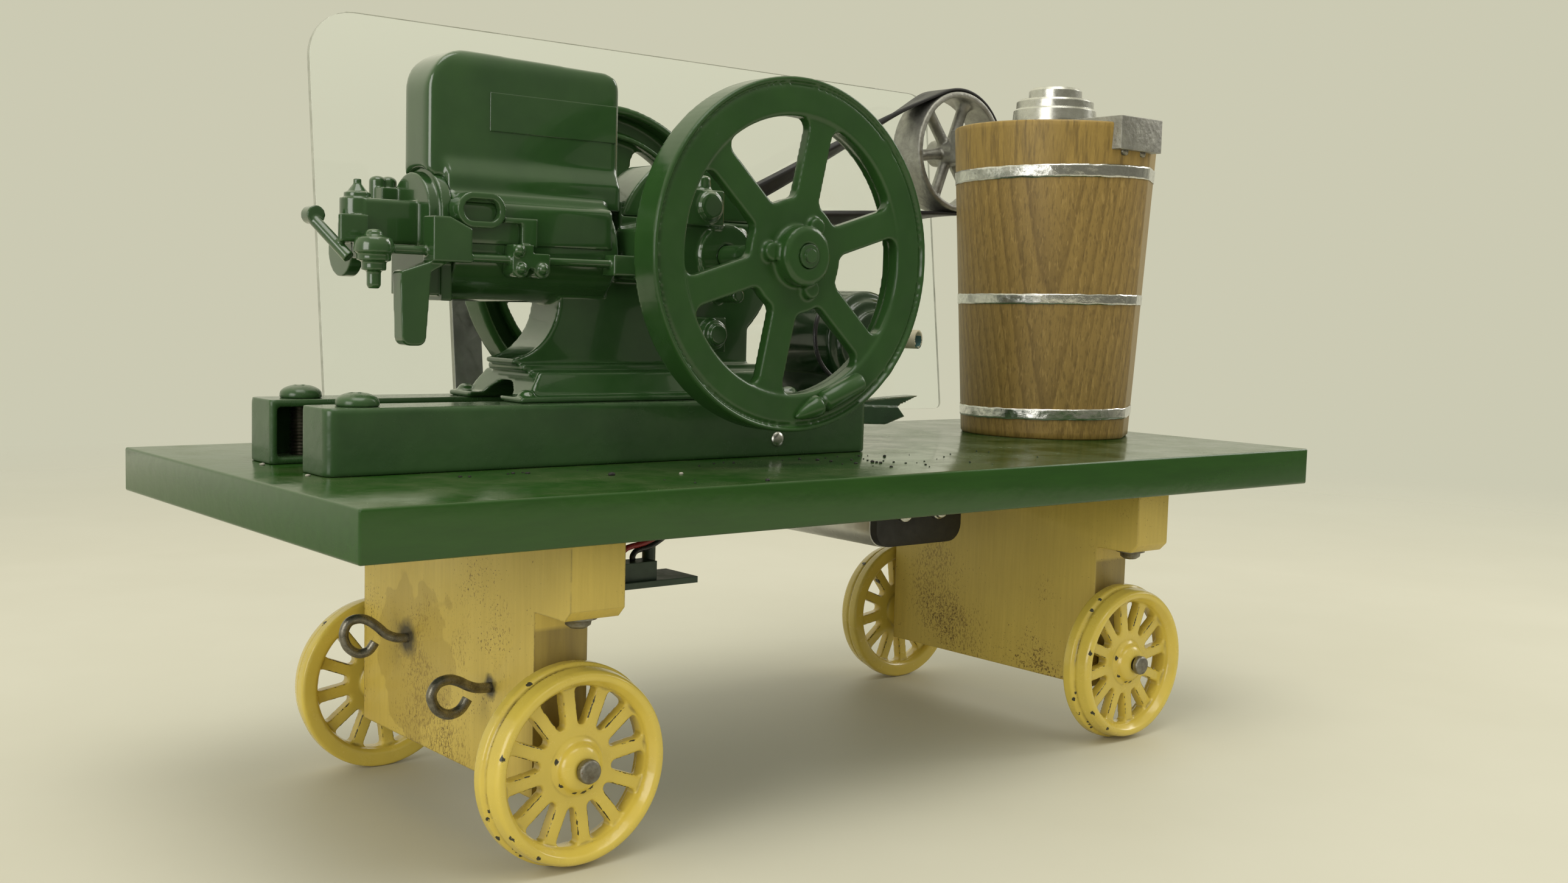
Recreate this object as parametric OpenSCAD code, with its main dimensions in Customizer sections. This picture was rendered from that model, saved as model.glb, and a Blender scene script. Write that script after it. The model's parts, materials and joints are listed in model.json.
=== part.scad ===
// Toy hit-and-miss engine that drives an ice cream freezer, on a deck with four wheels.
// Inside the modules X runs along the deck, Y across it and Z up from the ground, from the
// middle of the deck. on_deck() then moves a piece to the part's own origin, which lies under
// the middle of the whole toy.

/* [Deck] */
// Length of the deck
deck_l = 297; // [270:1:330]
// Width of the deck
deck_w = 128; // [120:1:150]
// Thickness of the deck
deck_t = 10.3; // [7:0.1:14]

/* [Truck] */
// Radius of a wheel over its flange
wheel_r = 21.7; // [19:0.1:24]
// Width of a wheel's rim
wheel_w = 8; // [6:0.5:10]
// Height of the deck's underside above the axles
axle_to_deck = 49.3; // [45:0.1:60]
// Distance between the front and the rear axle
wheelbase = 181.5; // [170:0.5:200]
// How far the middle of the wheelbase lies behind the middle of the deck
wheelbase_shift = -1.25; // [-6:0.25:6]
// Thickness of the wooden beams and boards
bolster_t = 13.1; // [10:0.1:16]
// Length of the upper beams
beam_l = 109; // [100:1:118]
// Height of the upper beams
beam_h = 17.2; // [14:0.1:20]
// Length of the lower boards
board_l = 81; // [70:1:90]
// How far the lower boards reach below the axle
board_drop = 7.7; // [6:0.1:9]
// Chamfer under the ends of the upper beams
beam_chamfer = 2.2; // [1:0.1:3]
// Radius of the axle screws
axle_r = 1.6; // [1.2:0.1:2.2]
// Radius of the axle screws' heads
axle_head_r = 2.6; // [2.4:0.1:3.4]
// Number of spokes in a wheel
wheel_spokes = 12; // [10:1:14]
// Width of a wheel's spoke
wheel_spoke_w = 3; // [2.4:0.1:3.4]
// Gap between a wheel's hub and its board or screw head
wheel_play = 0.3; // [0.2:0.05:0.6]
// Wire radius of the tow hooks
hook_wire_r = 1.25; // [1:0.05:1.5]
// Radius of the hooks' eyes, to the middle of the wire
hook_eye_r = 3.8; // [3.2:0.1:5]

/* [Skids] */
// Length of the skids
skid_l = 149.4; // [140:0.1:170]
// Left end of the skids
skid_left = -134; // [-140:0.5:-128]
// Width of a skid
skid_w = 13; // [11:0.1:15]
// Height of a skid
skid_h = 14.2; // [12:0.1:17]
// Distance between the outer faces of the two skids
skid_span = 42.2; // [40:0.1:46]
// Wall of a skid
skid_wall = 1.6; // [1.2:0.1:2.4]
// Radius of a skid's upright corners
skid_corner = 2.4; // [1.8:0.1:3]
// Distance of the skid screws from the skids' ends
skid_screw_in = 9.5; // [8:0.5:14]
// Radius of the pan heads on the skids
pan_r = 4.6; // [4:0.1:5]

/* [Engine base] */
// Distance of the engine's centre-line behind the deck's
engine_y = 3.6; // [2:0.1:5]
// Distance from the crank to the skids' right end
crank_in = 44.5; // [40:0.1:48]
// Height of the crank above the skids
crank_h = 35; // [33:0.1:38]
// Length of the foot flange
foot_l = 83.5; // [78:0.5:88]
// Width of the foot flange
foot_w = 34.2; // [31:0.1:38]
// Distance from the foot's right end to the crank
foot_right = 26.1; // [23:0.1:29]
// Thickness of the foot flange
foot_t = 1.3; // [1:0.1:2]
// Height of the base from the skids to its top
base_h = 6.7; // [6:0.1:9]
// Thickness of the plate on the base
sole_t = 1.6; // [1.2:0.1:2.2]
// Radius of the arched tunnel under the base
tunnel_r = 8.6; // [6:0.1:9]
// Depth of the tunnel's centre below the skids' top
tunnel_drop = 4.2; // [4.1:0.1:6]

/* [Engine casing] */
// Thickness of the casing: crankcase and hopper
casing_t = 13; // [12:0.1:15]
// Gap of the parting seam between the crankcase halves
seam = 0.2; // [0.1:0.05:0.4]
// Radius of the round crankcase
case_r = 23.2; // [21:0.1:25]
// Radius of the cylinder barrel
barrel_r = 12.5; // [11:0.1:14]
// Distance from the crank to the barrel's head end
barrel_far = 71.4; // [69:0.1:74]
// Distance from the crank to the barrel's inner end
barrel_near = 28.9; // [26:0.1:32]
// Length of the water hopper
hopper_l = 50.4; // [46:0.1:54]
// Height of the hopper above the barrel's centre
hopper_h = 42.8; // [36:0.1:50]
// Radius of the hopper's top left corner
hopper_corner = 10; // [7:0.5:13]
// Radius of the hopper's other rounded edges
hopper_edge = 4; // [2:0.1:5]

/* [Cylinder head] */
// Thickness of the head
head_t = 5; // [4:0.1:6]
// Width of the head
head_w = 21; // [19:0.1:23]
// Length of the valve chest
chest_l = 18.5; // [16:0.5:20]
// Height of the chest's top above the barrel's centre
chest_top = 9.2; // [8:0.1:11]
// Radius of the push rod
rod_r = 0.95; // [0.7:0.05:1.2]
// Distance of the push rod in front of the centre-line
rod_y = 14.6; // [13.9:0.1:16]

/* [Flywheels] */
// Radius of the flywheels
fly_r = 41; // [37:0.5:42]
// Inner radius of the flywheels' rims
fly_inner_r = 32.4; // [29:0.1:33.5]
// Width of the flywheels' rims
fly_w = 8.1; // [7:0.1:10]
// Distance of the near flywheel's rim from the engine's centre-line
fly_offset = 36.1; // [34:0.1:38]
// Number of spokes in a flywheel
fly_spokes = 6; // [5:1:7]
// Width of a flywheel's spoke
fly_spoke_w = 7; // [6:0.1:8]
// Turn of the spokes
fly_turn = 17.2; // [0:0.1:60]
// Radius of the flywheels' web disc
fly_web_r = 13.4; // [12:0.1:15]
// Radius of the fillets between spokes and rim
fly_fillet = 2.4; // [1.5:0.1:3]
// Radius of the flywheels' hub
fly_hub_r = 7; // [6.5:0.1:7.5]
// Radius of the crankshaft
shaft_r = 2.8; // [2.4:0.1:3.2]
// Radial running clearance of every shaft
running = 0.05; // [0.03:0.01:0.1]

/* [Belt drive] */
// Radius of the belt pulley on the crankshaft
drive_r = 8; // [7:0.1:9]
// Radius of the freezer's pulley
churn_r = 19.6; // [17:0.1:22]
// Width of both pulleys
pulley_w = 12.7; // [11:0.1:14]
// Distance of the pulleys behind the far flywheel's rim
pulley_gap = 0.6; // [0.4:0.1:1.5]
// Width of the belt on the pulleys
belt_w = 11.6; // [9:0.1:11.6]
// Thickness of the belt
belt_t = 0.9; // [0.6:0.1:1.2]
// Width of the belt where it curls between the pulleys
belt_curl_w = 5.4; // [4.6:0.1:7]
// Gap between the fixed belt and the turning pulleys
belt_gap = 0.3; // [0.2:0.05:0.5]
// Radius of the freezer's pulley shaft
churn_shaft_r = 2.2; // [1.8:0.1:2.6]

/* [Freezer] */
// Distance of the freezer's middle from the deck's right end
tub_in = 34.1; // [33:0.1:37]
// Place of the freezer across the deck
tub_y = 7.9; // [5:0.1:10]
// Height of the tub
tub_h = 93.8; // [84:0.2:104]
// Radius of the tub at its foot
tub_foot_r = 26.2; // [24:0.1:28]
// Radius of the tub at its rim
tub_rim_r = 31.4; // [29:0.1:33]
// Wall of the tub
tub_wall = 4.5; // [3:0.1:6]
// Thickness of the hoops
hoop_t = 0.4; // [0.3:0.05:0.8]
// Width of the gear frame
frame_w = 18.8; // [16:0.1:21]
// Height of the gear frame
frame_h = 9.7; // [8:0.1:11]
// Height of the pulley shaft below the tub's rim
churn_drop = 4.2; // [3.5:0.1:5]
// Radius of the stepped gear cap
cap_r = 12.9; // [10:0.1:14]

/* [Guard] */
// Length of the clear guard
guard_l = 221.2; // [210:0.2:230]
// Left edge of the guard
guard_left = -99.7; // [-104:0.1:-96]
// Height of the guard along its slope
guard_h = 107.2; // [100:0.2:112]
// Thickness of the guard
guard_t = 1.6; // [1.2:0.1:2.2]
// Backward lean of the guard, in degrees
guard_lean = 6.6; // [4:0.1:8]
// Gap between the guard's lower edge and the deck
guard_lift = 4.2; // [3:0.1:6]
// Distance of the guard's foot from the deck's far edge
guard_in = 3; // [2.6:0.1:4]
// Width of the guard posts
post_w = 8.5; // [7:0.1:10]
// Length of the guard posts
post_l = 61; // [50:1:66]

/* [Motor and electrics] */
// Radius of the motor
motor_r = 13.5; // [12:0.1:13.9]
// Length of the motor
motor_l = 30; // [26:0.5:32]
// Distance of the motor's axis from the skids' right end
motor_out = 10.6; // [10:0.1:13]
// Length of the battery box, across the deck
battery_l = 56; // [48:0.5:62]
// Width of the battery box, along the deck
battery_w = 32.5; // [28:0.1:36]
// Height of the battery box
battery_h = 16; // [13:0.1:17.5]

/* [Hidden] */
$fn = 64;

// Heights
deck_under = wheel_r + axle_to_deck;
deck_top = deck_under + deck_t;
skid_top = deck_top + skid_h;
crank_z = skid_top + crank_h;

// Places along the deck
skid_right = skid_left + skid_l;
crank_x = skid_right - crank_in;
motor_x = skid_right + motor_out;
tub_x = deck_l / 2 - tub_in;

// Truck
front_x = wheelbase_shift - wheelbase / 2;
rear_x = wheelbase_shift + wheelbase / 2;
hub_in = 1.7;
hub_dome = 0.7;
wheel_y = board_l / 2 + wheel_play + hub_in;
wheel_open_r = wheel_r - 4.4;
wheel_hub_r = 5.2;
wheel_web_r = 8.8;
wheel_web_t = 3;
hook_z = wheel_r + 14.4;

// Engine, measured from the crank and the engine's centre-line
case_half = casing_t / 2;
foot_left = foot_right - foot_l;
sole_z = -crank_h + base_h;
case_foot = sole_z + sole_t;
barrel_end = -barrel_far;
barrel_inner = -barrel_near;
hopper_left = barrel_end - 3.9;
hopper_right = hopper_left + hopper_l;
hopper_fall = 1.6;
head_left = barrel_end - head_t;
head_dome_r = head_w / 2;
head_rise = 6.4;
chest_left = head_left - chest_l;
chest_half = 4.2;
chest_low = -0.5;
hood_top = 21.8;
hood_r = case_r + 2.6;
hood_foot = 9;
hood_t = 1.5;
arm_t = 9;
bearing_r = 8;
bearing_face = case_half + arm_t;

// Flywheels and belt drive
fly_face = fly_offset + fly_w;
drive_in = fly_face + pulley_gap;
drive_out = drive_in + pulley_w;
drive_y = engine_y + (drive_in + drive_out) / 2;
churn_z = deck_top + tub_h - churn_drop;
shaft_near = -fly_face - 3.8;
shaft_far = drive_out + 0.8;

// Freezer
rim_z = deck_top + tub_h;
frame_up = 1.7;
frame_low = rim_z + frame_up - frame_h;
frame_near = tub_y - tub_rim_r - 1.5;
frame_far = drive_y - pulley_w / 2 - 3.8;
tub_taper = atan((tub_rim_r - tub_foot_r) / tub_h);
tub_flat = 1.35;
tub_flat_turn = -57;
notch_play = 0.1;

// Guard
guard_y = deck_w / 2 - guard_in;
guard_z = deck_top + guard_lift;
guard_back = guard_y + guard_h * sin(guard_lean) + guard_t * cos(guard_lean);
post_t = 1.5;
posts_left = [-62, 67];

// Motor and electrics
motor_z = skid_top + 1 + motor_r;
motor_y = engine_y + 3.4;
motor_near = motor_y - motor_l / 2;
motor_far = motor_y + motor_l / 2;
battery_left = 19;
battery_near = -18;

// The part's origin lies under the middle of its depth
deck_shift = (deck_w / 2 - guard_back) / 2;

green = [0.10, 0.30, 0.11];
dark_green = [0.05, 0.14, 0.06];
yellow = [0.72, 0.56, 0.16];
black = [0.03, 0.03, 0.03];
steel = [0.55, 0.55, 0.53];
wood = [0.45, 0.29, 0.13];

// ---- Placing and shaping ----

module on_deck() {
    translate([0, deck_shift, 0]) children();
}

module on_engine() {
    on_deck() translate([crank_x, engine_y, crank_z]) children();
}

// Mirrors what is drawn for the far side (+Y) when side is -1
module sided(side) {
    if (side < 0) mirror([0, 1, 0]) children();
    else children();
}

// A drawing in X and Z, extruded from y0 to y1
module across(y0, y1) {
    translate([0, y1, 0]) rotate([90, 0, 0]) linear_extrude(y1 - y0) children();
}

// A drawing in Y and Z, extruded from x0 to x1
module along(x0, x1) {
    translate([x0, 0, 0]) rotate([90, 0, 90]) linear_extrude(x1 - x0) children();
}

// A drawing of radius and distance along Y, turned about Y
module turned_y() {
    rotate([-90, 0, 0]) rotate_extrude() children();
}

module rod_along_x(x0, x1, r) {
    translate([x0, 0, 0]) rotate([0, 90, 0]) cylinder(h = x1 - x0, r = r);
}

module rod_along_y(y0, y1, r) {
    translate([0, y0, 0]) rotate([-90, 0, 0]) cylinder(h = y1 - y0, r = r);
}

module block(low, high) {
    translate(low) cube(high - low);
}

// A low dome or cap: radius at the seat, and heights of its edge and its top
module button(r, edge, top) {
    rotate_extrude() polygon(concat([[0, 0], [r, 0]],
        [for (a = [0:15:90]) [r * cos(a), edge + (top - edge) * sin(a)]]));
}

function polar(r, a) = r * [cos(a), sin(a)];
function arc(c, r, a0, a1, steps) = [for (i = [0:steps]) c + polar(r, a0 + (a1 - a0) * i / steps)];
function inner_points(pts) = [for (i = [1:len(pts) - 2]) pts[i]];
function short_way(a) = a > 180 ? a - 360 : a < -180 ? a + 360 : a;

// One corner of an outline, replaced by an arc of radius r
function round_corner(before, p, after, r, steps) =
    let (u = (before - p) / norm(before - p), v = (after - p) / norm(after - p))
    let (half = acos(u * v) / 2, c = p + (u + v) / norm(u + v) * r / sin(half))
    let (s = p + u * r / tan(half) - c, e = p + v * r / tan(half) - c)
    let (a0 = atan2(s[1], s[0]), turn = short_way(atan2(e[1], e[0]) - a0))
    arc(c, r, a0, a0 + turn, steps);

// An outline whose corners have the given radii; radius 0 keeps a corner sharp
function rounded(pts, radii, steps = 6) =
    let (n = len(pts))
    [for (i = [0:n - 1]) each radii[i] == 0 ? [pts[i]]
        : round_corner(pts[(i + n - 1) % n], pts[i], pts[(i + 1) % n], radii[i], steps)];

function rectangle(x0, y0, x1, y1) = [[x0, y0], [x1, y0], [x1, y1], [x0, y1]];

// ---- Spoked wheels ----

// The opening between two spokes, the first along X, with filleted corners
function spoke_opening(inner, outer, count, spoke, fillet, steps) =
    let (step = 360 / count, reach = spoke / 2 + fillet)
    let (near_r = inner + fillet, far_r = outer - fillet)
    let (near_a = asin(reach / near_r), far_a = asin(reach / far_r))
    concat(
        arc(polar(far_r, far_a), fillet, -90, far_a, steps),
        inner_points(arc([0, 0], outer, far_a, step - far_a, 3 * steps)),
        arc(polar(far_r, step - far_a), fillet, step - far_a, step + 90, steps),
        arc(polar(near_r, step - near_a), fillet, step + 90, step - near_a + 180, steps),
        inner_points(arc([0, 0], inner, step - near_a, near_a, steps)),
        arc(polar(near_r, near_a), fillet, near_a + 180, 270, steps));

module spoked_disc(r, inner, outer, count, spoke, fillet, turn, steps) {
    difference() {
        circle(r);
        for (i = [0:count - 1]) rotate(turn + i * 360 / count)
            polygon(spoke_opening(inner, outer, count, spoke, fillet, steps));
    }
}

// ---- Deck and truck ----

module deck() color(green) on_deck()
    block([-deck_l / 2, -deck_w / 2, deck_under], [deck_l / 2, deck_w / 2, deck_top]);

// An upper beam, chamfered under both ends
module beam(x) color(yellow) on_deck() along(x - bolster_t / 2, x + bolster_t / 2)
    polygon([[-beam_l / 2 + beam_chamfer, deck_under - beam_h],
        [beam_l / 2 - beam_chamfer, deck_under - beam_h],
        [beam_l / 2, deck_under - beam_h + beam_chamfer], [beam_l / 2, deck_under],
        [-beam_l / 2, deck_under], [-beam_l / 2, deck_under - beam_h + beam_chamfer]]);

// A lower board with the two holes of its axle screws
module board(x, holes) color(yellow) on_deck() difference() {
    block([x - bolster_t / 2, -board_l / 2, wheel_r - board_drop],
        [x + bolster_t / 2, board_l / 2, deck_under - beam_h]);
    for (side = [-1, 1]) translate([x, 0, wheel_r]) sided(side)
        rod_along_y(board_l / 2 - 16, board_l / 2 + 1, axle_r);
    for (hole = holes) translate([x - bolster_t / 2 - 1, hole, hook_z])
        rod_along_x(0, hook_in + 1, hook_wire_r);
}

hook_in = 7;
hooks_y = [-22.4, 17.2];

module front_beam() beam(front_x);
module rear_beam() beam(rear_x);
module front_board() board(front_x, hooks_y);
module rear_board() board(rear_x, []);

// Screws that carry the wheels: shank, head and slot
module axle_screws() color(steel) on_deck() for (x = [front_x, rear_x], side = [-1, 1])
    translate([x, 0, wheel_r]) sided(side) difference() {
        union() {
            rod_along_y(board_l / 2 - 16, screw_seat + 0.5, axle_r);
            translate([0, screw_seat, 0]) rotate([-90, 0, 0]) button(axle_head_r, 0.5, 1.9);
        }
        block([-axle_head_r, screw_seat + 1.1, -0.35], [axle_head_r, screw_seat + 3, 0.35]);
    }

screw_seat = wheel_y + wheel_w + hub_dome + wheel_play;

// A wheel of the far side: rim, web with spokes, and hub
module wheel(x, side) color(yellow) on_deck() translate([x, 0, wheel_r]) sided(side)
    translate([0, wheel_y, 0]) difference() {
        union() {
            turned_y() polygon([[wheel_open_r, 0.9], [wheel_open_r + 0.8, 0], [wheel_r - 0.4, 0],
                [wheel_r, 0.4], [wheel_r, 3], [wheel_r - 1, 3.5], [wheel_r - 1, 4.1],
                [wheel_r - 0.6, 4.5], [wheel_r - 1.1, wheel_w - 0.9], [wheel_r - 1.7, wheel_w],
                [wheel_r - 3, wheel_w], [wheel_open_r, wheel_w - 2]]);
            across(web_in, web_in + wheel_web_t) spoked_disc(wheel_open_r + 0.5, wheel_web_r,
                wheel_open_r - web_lip, wheel_spokes, wheel_spoke_w, 0.8, 8, 2);
            turned_y() polygon(concat([[0, -hub_in], [wheel_hub_r - 0.8, -hub_in],
                [wheel_hub_r + 1.4, web_in + wheel_web_t - 0.2]],
                [for (a = [0:15:90]) [wheel_hub_r * cos(a), wheel_w - 2 + (2 + hub_dome) * sin(a)]]));
        }
        rod_along_y(-hub_in - 1, wheel_w + hub_dome + 1, axle_r + running);
        rod_along_y(wheel_w, wheel_w + hub_dome + 1, axle_head_r - 0.4);
    }

web_lip = 0.3;
web_in = (wheel_w - wheel_web_t) / 2 - 0.4;

module front_near_wheel() wheel(front_x, -1);
module front_far_wheel() wheel(front_x, 1);
module rear_near_wheel() wheel(rear_x, -1);
module rear_far_wheel() wheel(rear_x, 1);

// Open-eyed hooks of bent wire, screwed into the front board
module tow_hooks() color(black) on_deck() for (y = hooks_y)
    translate([front_x - bolster_t / 2, y, hook_z]) {
        rod_along_x(-hook_stem, hook_in, hook_wire_r);
        translate([-hook_stem - hook_eye_r * cos(hook_gap), 0, -hook_eye_r * sin(hook_gap)])
            rotate([90, 0, 0]) rotate([0, 0, hook_gap]) rotate_extrude(angle = 300)
            translate([hook_eye_r, 0]) circle(hook_wire_r);
    }

hook_stem = 3.4;
hook_gap = 25;

// ---- Skids ----

skid_screws_x = [skid_left + skid_screw_in, skid_right - skid_screw_in];

// A channel skid on the far side, open towards the middle
module skid(side) color(green) on_deck() translate([0, engine_y, 0]) sided(side)
    difference() {
        translate([0, 0, deck_top]) linear_extrude(skid_h) polygon(rounded(
            rectangle(skid_left, skid_span / 2 - skid_w, skid_right, skid_span / 2),
            [0.6, 0.6, skid_corner, skid_corner]));
        block([skid_left + skid_wall, skid_span / 2 - skid_w - 1, deck_top + skid_wall],
            [skid_right - skid_wall, skid_span / 2 - skid_wall, skid_top - skid_wall]);
        for (x = skid_screws_x) translate([x, skid_span / 2 - skid_w / 2, deck_top - 1])
            cylinder(h = skid_h + 2, r = skid_shank_r + running);
    }

skid_shank_r = 1.9;

module near_skid() skid(-1);
module far_skid() skid(1);

// Pan-head screws through both ends of the skids
module skid_screws() color(green) on_deck() for (x = skid_screws_x, side = [-1, 1])
    translate([x, engine_y + side * (skid_span - skid_w) / 2, deck_top]) {
        cylinder(h = skid_h, r = skid_shank_r);
        translate([0, 0, skid_h]) difference() {
            button(pan_r, 0.9, 3);
            for (turn = [0, 90]) rotate([0, 0, turn])
                block([-1.7, -0.4, 2], [1.7, 0.4, 4]);
        }
    }

// ---- Engine base and casing ----

foot_inset = 2.5;
base_inset = 7.5;
base_side_inset = 4.8;

module engine_base() color(green) on_engine() {
    difference() {
        union() {
            block([foot_left, -foot_w / 2, -crank_h], [foot_right, foot_w / 2, foot_t - crank_h]);
            intersection() {
                across(-foot_w / 2, foot_w / 2) polygon([[foot_left + foot_inset, -crank_h],
                    [foot_right - foot_inset, -crank_h], [foot_right - base_inset, sole_z],
                    [foot_left + base_inset, sole_z]]);
                along(foot_left, foot_right) polygon([[-foot_w / 2 + 1.8, -crank_h],
                    [foot_w / 2 - 1.8, -crank_h], [foot_w / 2 - base_side_inset, sole_z],
                    [-foot_w / 2 + base_side_inset, sole_z]]);
            }
            block([foot_left + base_inset - 2, -sole_half, sole_z],
                [foot_right - base_inset + 1.5, sole_half, case_foot]);
        }
        translate([0, 0, -crank_h - tunnel_drop])
            rod_along_x(foot_left - 1, foot_right + 1, tunnel_r);
        for (x = base_bolts_x, y = base_bolts_y) translate([x, y, -crank_h]) {
            translate([0, 0, -1]) cylinder(h = foot_t + 2, r = base_bolt_r);
            translate([0, 0, foot_t]) cylinder(h = 6, r = base_head_r + seat_play);
        }
    }
}

sole_half = case_half + 1.8;
base_bolt_r = 1;
base_head_r = 1.9;
seat_play = 0.15;
base_bolts_x = [foot_left + 3, foot_right - 3];
base_bolts_y = [3 - foot_w / 2, foot_w / 2 - 3];

// Bolts that hold the foot flange
module base_bolts() color(green) on_engine() for (x = base_bolts_x, y = base_bolts_y)
    translate([x, y, -crank_h]) {
        cylinder(h = foot_t, r = base_bolt_r);
        translate([0, 0, foot_t]) button(base_head_r, 0.5, 1.6);
    }

// Outline of the crankcase and its pedestal
module case_outline() {
    difference() {
        union() {
            circle(case_r);
            polygon(concat(arc([pedestal_left - 2.1, case_foot + pedestal_flare_r + 1],
                pedestal_flare_r, -81.6, -5.7, 10),
                [[pedestal_neck, -4], [barrel_inner, -4], [barrel_inner, barrel_r], [0, barrel_r],
                [case_right, -10], [case_right, case_foot], [pedestal_left, case_foot]]));
        }
        translate([-case_r - 1, hood_foot]) square([2 * case_r + 2, case_r]);
    }
}

pedestal_left = -53.4;
pedestal_neck = -41.3;
pedestal_flare_r = 14.2;
case_right = 15.1;

// Half of the crankcase, on the far side
module crankcase_half(side) color(green) on_engine() sided(side) difference() {
    across(seam / 2, case_half) case_outline();
    rod_along_x(barrel_end, barrel_inner, barrel_r);
    rod_along_y(-1, case_half + 1, shaft_r + running);
    block([hopper_left, 0, 0], [hopper_right, case_half + 1, barrel_r + 1]);
}

module near_crankcase() crankcase_half(-1);
module far_crankcase() crankcase_half(1);

module barrel() color(green) on_engine() difference() {
    rod_along_x(barrel_end, barrel_inner, barrel_r);
    block([barrel_inner - 5, -case_half, -barrel_r], [barrel_inner + 1, -case_half - 9, barrel_r]);
}

// The hopper's sides: a rounded slab from three drawings, on the barrel and round the head
module water_hopper() color(green) on_engine() difference() {
    union() {
        intersection() {
            across(-casing_t, casing_t) polygon(rounded([[hopper_left, hopper_low],
                [hopper_right, hopper_low], [hopper_right, hopper_h - hopper_fall / 2], [hopper_left, hopper_h + hopper_fall / 2]],
                [0, 0, hopper_edge + 1, hopper_corner], 10));
            along(hopper_left - 1, hopper_right + 1) polygon(rounded(
                rectangle(-case_half, 0, case_half, hopper_h + 1), [0, 0, hopper_edge, hopper_edge], 8));
            linear_extrude(2 * hopper_h) polygon(rounded(
                rectangle(hopper_left, -case_half, hopper_right, case_half),
                [hopper_side_r, hopper_side_r, hopper_side_r, hopper_side_r], 6));
        }
        skirt(0);
        jacket(0);
    }
    rod_along_x(barrel_end - 1, hopper_right + 1, barrel_r);
    along(head_left - 8, barrel_end) head_outline(0);
}

// Flared foot of the hopper, grown by some play
module skirt(play) {
    along(barrel_end - play, hopper_right - 1 + play) polygon([[-skirt_half - play, skirt_foot],
        [skirt_half + play, skirt_foot], [skirt_half + play, skirt_low + play],
        [case_half + play, skirt_top + play], [-case_half - play, skirt_top + play],
        [-skirt_half - play, skirt_low + play]]);
}

// Flat-sided water jacket round the barrel's upper half, grown by some play
module jacket(play) {
    along(barrel_end - play, barrel_inner - 2 + play) polygon([[-jacket_half - play, -play],
        [jacket_half + play, -play], [jacket_half + play, jacket_top + play],
        [skirt_half + play, jacket_eave + play], [-skirt_half - play, jacket_eave + play],
        [-jacket_half - play, jacket_top + play]]);
}

skirt_half = case_half + 2;
skirt_foot = 8;
skirt_low = 15.3;
skirt_top = 19.2;
jacket_half = barrel_r + 0.5;
jacket_top = 9;
jacket_eave = 11.7;
jacket_play = 0.05;
hopper_low = 8.9;
hopper_side_r = 2.2;

// ---- Cylinder head and valve gear ----

// Outline of the head: square below, round above
module head_outline(inset) {
    translate([0, head_rise]) circle(head_dome_r - inset);
    polygon(rectangle(inset - head_dome_r, inset - barrel_r, head_dome_r - inset, head_rise));
}

module cylinder_head() color(green) on_engine() {
    along(barrel_end - head_t / 2, barrel_end) head_outline(0);
    along(head_left, barrel_end - head_t / 2) head_outline(1.2);
    block([head_left - lug_l, chest_half + 1.5, head_rise - 2.5],
        [head_left + 1, head_dome_r + 1.5, head_rise + 6]);
    for (x = lugs_x) translate([x, head_dome_r, head_rise]) button(lug_r, 7.6, 8.8);
}

lug_l = 4;
lug_r = 1.9;
lugs_x = [head_left - lug_l + 1.2, head_left - 0.2];

module valve_chest() color(green) on_engine() difference() {
    union() {
        along(chest_cap_x, head_left) polygon(rounded(
            rectangle(-chest_half, chest_low, chest_half, chest_top), [0.8, 0.8, 0.8, 0.8], 3));
        translate([chest_cap_x, 0, chest_low]) cylinder(h = chest_top - chest_low, r = chest_boss_r);
        block([chest_left - 1, -tab_near, chest_low], [chest_left + 5.3, tab_t - tab_near, tab_top]);
        block([chest_left + 3, -tab_near + 0.5, chest_low], [chest_left + 5.3, -1, tab_top]);
        translate([0, 4.4, -1.8]) rod_along_x(chest_left + 4, chest_left + 7, 6);
        translate([chest_cap_x, 0, chest_top]) grease_cap(2.9, 4.2);
    }
    block([chest_left + 1, chest_half + 1.4, chest_low], [head_left, chest_half + 8, 6]);
    strut(lever_from, lever_to, lever_r + seat_play);
}

chest_cap_x = chest_left + 6;
chest_boss_r = 3.8;
tab_near = 7.2;
tab_t = 1.6;
tab_top = 5.4;

// A screwed grease cap: disc, cone and knob
module grease_cap(r, h) {
    cylinder(h = 0.3 * h, r = r);
    translate([0, 0, 0.3 * h]) cylinder(h = 0.4 * h, r1 = 0.8 * r, r2 = 0.35 * r);
    translate([0, 0, 0.7 * h]) cylinder(h = 0.3 * h, r = 0.3 * r);
}

mixer_x = chest_left + 4.35;
mixer_y = -11.8;

// Mixer with its domed cover, stepped body and needle rod
module mixer() color(green) on_engine() {
    translate([mixer_x, mixer_y, 0]) rotate_extrude() polygon(concat(
        [[0, -10.3], [1.1, -10.3], [1.5, -9.6], [1.5, -6.6], [2.6, -6.4], [2.6, -4.6], [3.6, -4.4],
        [3.6, -3], [4.25, -2.6]], arc([0, -1.7], 4.25, 0, 30, 3), [[1.9, 0.9], [1.9, 1.6],
        [1.2, 2.2], [0, 2.3]]));
    translate([0, mixer_y, -1.8]) rod_along_x(mixer_x + 2, bracket_left, 1);
    block([mixer_x - 1.5, mixer_y + 2, -4], [mixer_x + 1.5, -chest_half, chest_low - 0.1]);
}

lever_from = [chest_left - 4.2, 1.4, 5.1];
lever_to = [chest_left + 0.8, -7.35, -3.9];
lever_r = 1.3;

// A rod between two points
module strut(from, to, r) {
    run = to - from;
    translate(from) rotate([0, acos(run[2] / norm(run)), atan2(run[1], run[0])])
        cylinder(h = norm(run), r = r);
}

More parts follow.
